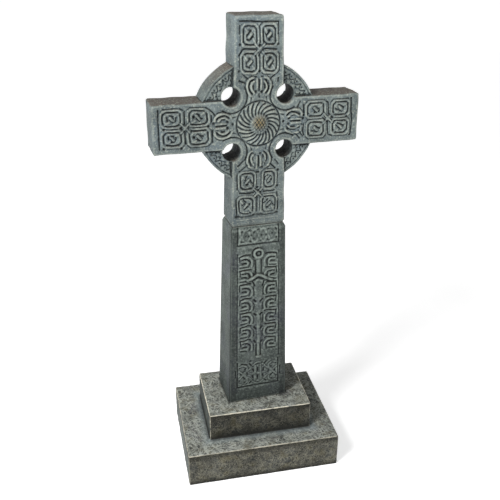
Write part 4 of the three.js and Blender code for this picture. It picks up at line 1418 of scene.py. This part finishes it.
def brushed_stone(name):
    material, shader, add = new_material(name)
    place = add("TexCoord", output=3)
    facing = add("NewGeometry", output=1)
    across, deep, height = [add("SeparateXYZ", place, output=axis) for axis in range(3)]
    sideways = add("Math", add("SeparateXYZ", facing, output=0), operation="ABSOLUTE")
    level = add("MapRange", add("SeparateXYZ", facing, output=2), 0.5, 0.9)
    carved = add("Attribute", output=2, attribute_name="carved")
    step_up = base_lower["height"]

    def lay(surface, *coats):
        """Lays coats over a surface, each with its share, its colour on upright sides and that on tops."""
        for share, upright_code, level_code in coats:
            tint = add("Mix", level, colour(upright_code), colour(level_code), data_type="RGBA")
            surface = add("Mix", share, surface, tint, data_type="RGBA")
        return surface

    hatch, bright = brush_strokes(add, place, level)
    surface = lay(
        colour("#000000"),
        (1.0, "#2b2d2b", "#505350"),
        (add("MapRange", hatch, 0.5, 0.7), "#5a5951", "#8b8d84"),
        (patches(add, place, 26, 0.48, 0.66, most=0.4, detail=2), "#3a4044", "#606068"),
        (patches(add, place, 20, 0.5, 0.66, most=0.5), "#5c563c", "#87826c"),
        (add("MapRange", sideways, 0.6, 0.9, 0.0, 0.55), "#55666b", "#55666b"),
        (bright, "#8b897a", "#c9cec4"))
    least = add("MapRange", level, 0.0, 1.0, 0.74, 0.88)
    broad = patches(add, place, 55, 0.38, 0.6, least, 1.1, detail=2)
    surface = add("VectorMath", surface, broad, operation="SCALE")
    flecks = patches(add, place, 2.4, 0.59, 0.66, most=0.7, roughness=0.7)
    surface = lay(surface, (flecks, "#a39f8a", "#c9c6b2"))

    # The level tops are painted darker towards the right, and the upper step's sides darker than the lower
    # one's
    upper_half = base_upper["width"] / 2 * MM
    tops = add("MapRange", across, -upper_half, upper_half, 0.86, 0.73)
    sides = add("MapRange", height, (step_up - 2) * MM, (step_up + 4) * MM, 0.83, 0.54)
    shade = add("MapRange", level, 0.0, 1.0, sides, tops)
    surface = add("VectorMath", surface, shade, operation="SCALE")

    # Blue-grey dust in the corner at the foot of the upper step
    half_depth = base_upper["depth"] / 2
    walls = past_walls(add, across, deep, base_upper["width"] / 2, half_depth, half_depth)
    from_step = add("Math", *walls, operation="MAXIMUM")
    dust = add("MapRange", from_step, 16 * MM, 1 * MM, 0.0, 0.65)
    for limit in (add("MapRange", from_step, -1.5 * MM, 0.0), level):
        dust = add("Math", dust, limit, operation="MULTIPLY")

    # Painted shade under each arris, a painted contact shadow at the ground, and painted shade at the upper
    # step's foot, all on the upright sides
    painted_shade_bands = [(add("MapRange", height, 12 * MM, 3 * MM, 0.0, 0.75), "#11120e")]
    for start, full, end, share, code in (
            (step_up - 14, step_up - 5.83, (step_up + 2, step_up + 1), 0.55, "#11120e"),
            (base_height - 12, base_height - 5, (base_height + 2, base_height + 1), 0.5, "#11120e"),
            (step_up + 20, step_up + 1, (step_up - 1.5, step_up - 0.5), 0.7, "#171a1a")):
        band = add("MapRange", height, start * MM, full * MM, 0.0, share)
        limit = add("MapRange", height, end[0] * MM, end[1] * MM)
        painted_shade_bands.append((add("Math", band, limit, operation="MULTIPLY"), code))

    # A painted shadow line round the shaft's foot; the shaft stands turned
    unturned = add("VectorRotate", place, Angle=-cross_turn)
    own_across, own_deep = [add("SeparateXYZ", unturned, output=axis) for axis in range(2)]
    walls = past_walls(add, own_across, own_deep, *[shaft_foot[key] for key in ("half", "front", "back")])
    shaft_foot_shadow = add("MapRange", add("Math", *walls, operation="MAXIMUM"), 4.5 * MM, 0.8 * MM, 0.0, 0.8)
    on_top = add("MapRange", height, (base_height - 13) * MM, (base_height - 8) * MM)
    shaft_foot_shadow = add("Math", shaft_foot_shadow, on_top, operation="MULTIPLY")

    worn = patches(add, place, 16, 0.33, 0.55, detail=4, roughness=0.7)
    rub_and_highlight = add("Math", arris_wear_and_highlight(add, across, deep, height), worn, operation="MULTIPLY")

    surface = lay(
        surface,
        (dust, "#8b989b", "#8b989b"),
        # Painted shade and contact shadow on the upright sides, then the painted shadow round the shaft's
        # foot
        *[(add("MapRange", level, 0.0, 1.0, share, 0.0), code, code) for share, code in painted_shade_bands],
        (shaft_foot_shadow, "#1c1f1f", "#1c1f1f"),
        # Dark in the hollows: partly dirt and partly painted shade
        (add("MapRange", carved, 0.05, 0.5, 0.0, 0.6), "#1f1f1d", "#1f1f1d"),
        # Pale arrises: partly rubbed wear and partly painted highlight
        (rub_and_highlight, "#efe8d2", "#efe8d2"))
    fill(shader.inputs["Base Color"], surface)
    fill(shader.inputs["Roughness"], patches(add, place, 5, 0.0, 1.0, 0.55, 0.8))
    fill(shader.inputs["Specular IOR Level"], 0.15)
    fill(shader.inputs["Normal"], add("Bump", Strength=0.9, Distance=0.9 * MM, Height=hatch))
    return material


base_stone = brushed_stone("brushed_base_stone")
print("brushed stone:", len(base_stone.node_tree.nodes), "nodes")

# %% [markdown]
# ## The pieces take their places
#
# Each carved skin stands for one node of the CAD model, which stays for collision. All three ride on the
# only body, and each gets its own finish.

# %% Finish the three pieces
for piece, node, slot, material in ((head, "cross_head", "cross_stone", cross_stone),
                                    (shaft, "shaft", "shaft_stone", shaft_stone),
                                    (base, "stepped_base", "base_stone", base_stone)):
    piece.data.materials.clear()
    piece.data.materials.append(material)
    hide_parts(node)
    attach(piece, "root")
print("three pieces finished")

# %% [markdown]
# ## Floor and light
#
# The floor is plain and nearly white. It glows a little, and more so far away, so that it stays white
# behind the cross. A large soft light stands high on the left in front, a weaker one on the right, and a
# pale sky with a bright horizon fills the shadows, as in a product photograph.

# %% Stage
white = (1, 1, 1, 1)
bpy.ops.mesh.primitive_plane_add(size=60, location=(0, 0, -0.5 * MM))
floor = bpy.context.active_object
floor.name = "floor"
floor_paint, shader, add = new_material("pale_floor")
away = add("VectorMath", add("TexCoord", output=3), operation="LENGTH")
fill(shader.inputs["Base Color"], colour("#f6f6f6"))
fill(shader.inputs["Roughness"], 0.9)
fill(shader.inputs["Emission Color"], white)
fill(shader.inputs["Emission Strength"], add("MapRange", away, 1.5, 6.0, 0.55, 0.72))
floor.data.materials.append(floor_paint)

# %% Lights and sky
lamps = {
    "key_light": {"place": (-1.9, -1.3, 2.4), "target": (0, 0, 0.5), "size": 1.0, "watts": 90},
    "fill_light": {"place": (1.8, -2.2, 1.0), "target": (0, 0, 0.4), "size": 1.6, "watts": 4},
}
for name, lamp in lamps.items():
    data = bpy.data.lights.new(name, "AREA")
    data.shape = "DISK"
    data.size = lamp["size"]
    data.energy = lamp["watts"]
    light = bpy.data.objects.new(name, data)
    bpy.context.collection.objects.link(light)
    light.location = lamp["place"]
    aim = Vector(lamp["target"]) - Vector(lamp["place"])
    light.rotation_euler = aim.to_track_quat("-Z", "Y").to_euler()

world = bpy.data.worlds.new("pale_sky")
bpy.context.scene.world = world
world.use_nodes = True
sky = world.node_tree
rise = add_node(sky, "SeparateXYZ", add_node(sky, "TexCoord"), output=2)
fill(sky.nodes["Background"].inputs["Color"], white)
fill(sky.nodes["Background"].inputs["Strength"], add_node(sky, "MapRange", rise, 0.15, 0.35, 1.0, 0.27))
bpy.context.scene.view_settings.view_transform = "Standard"
print("stage ready:", len(lamps), "lights")
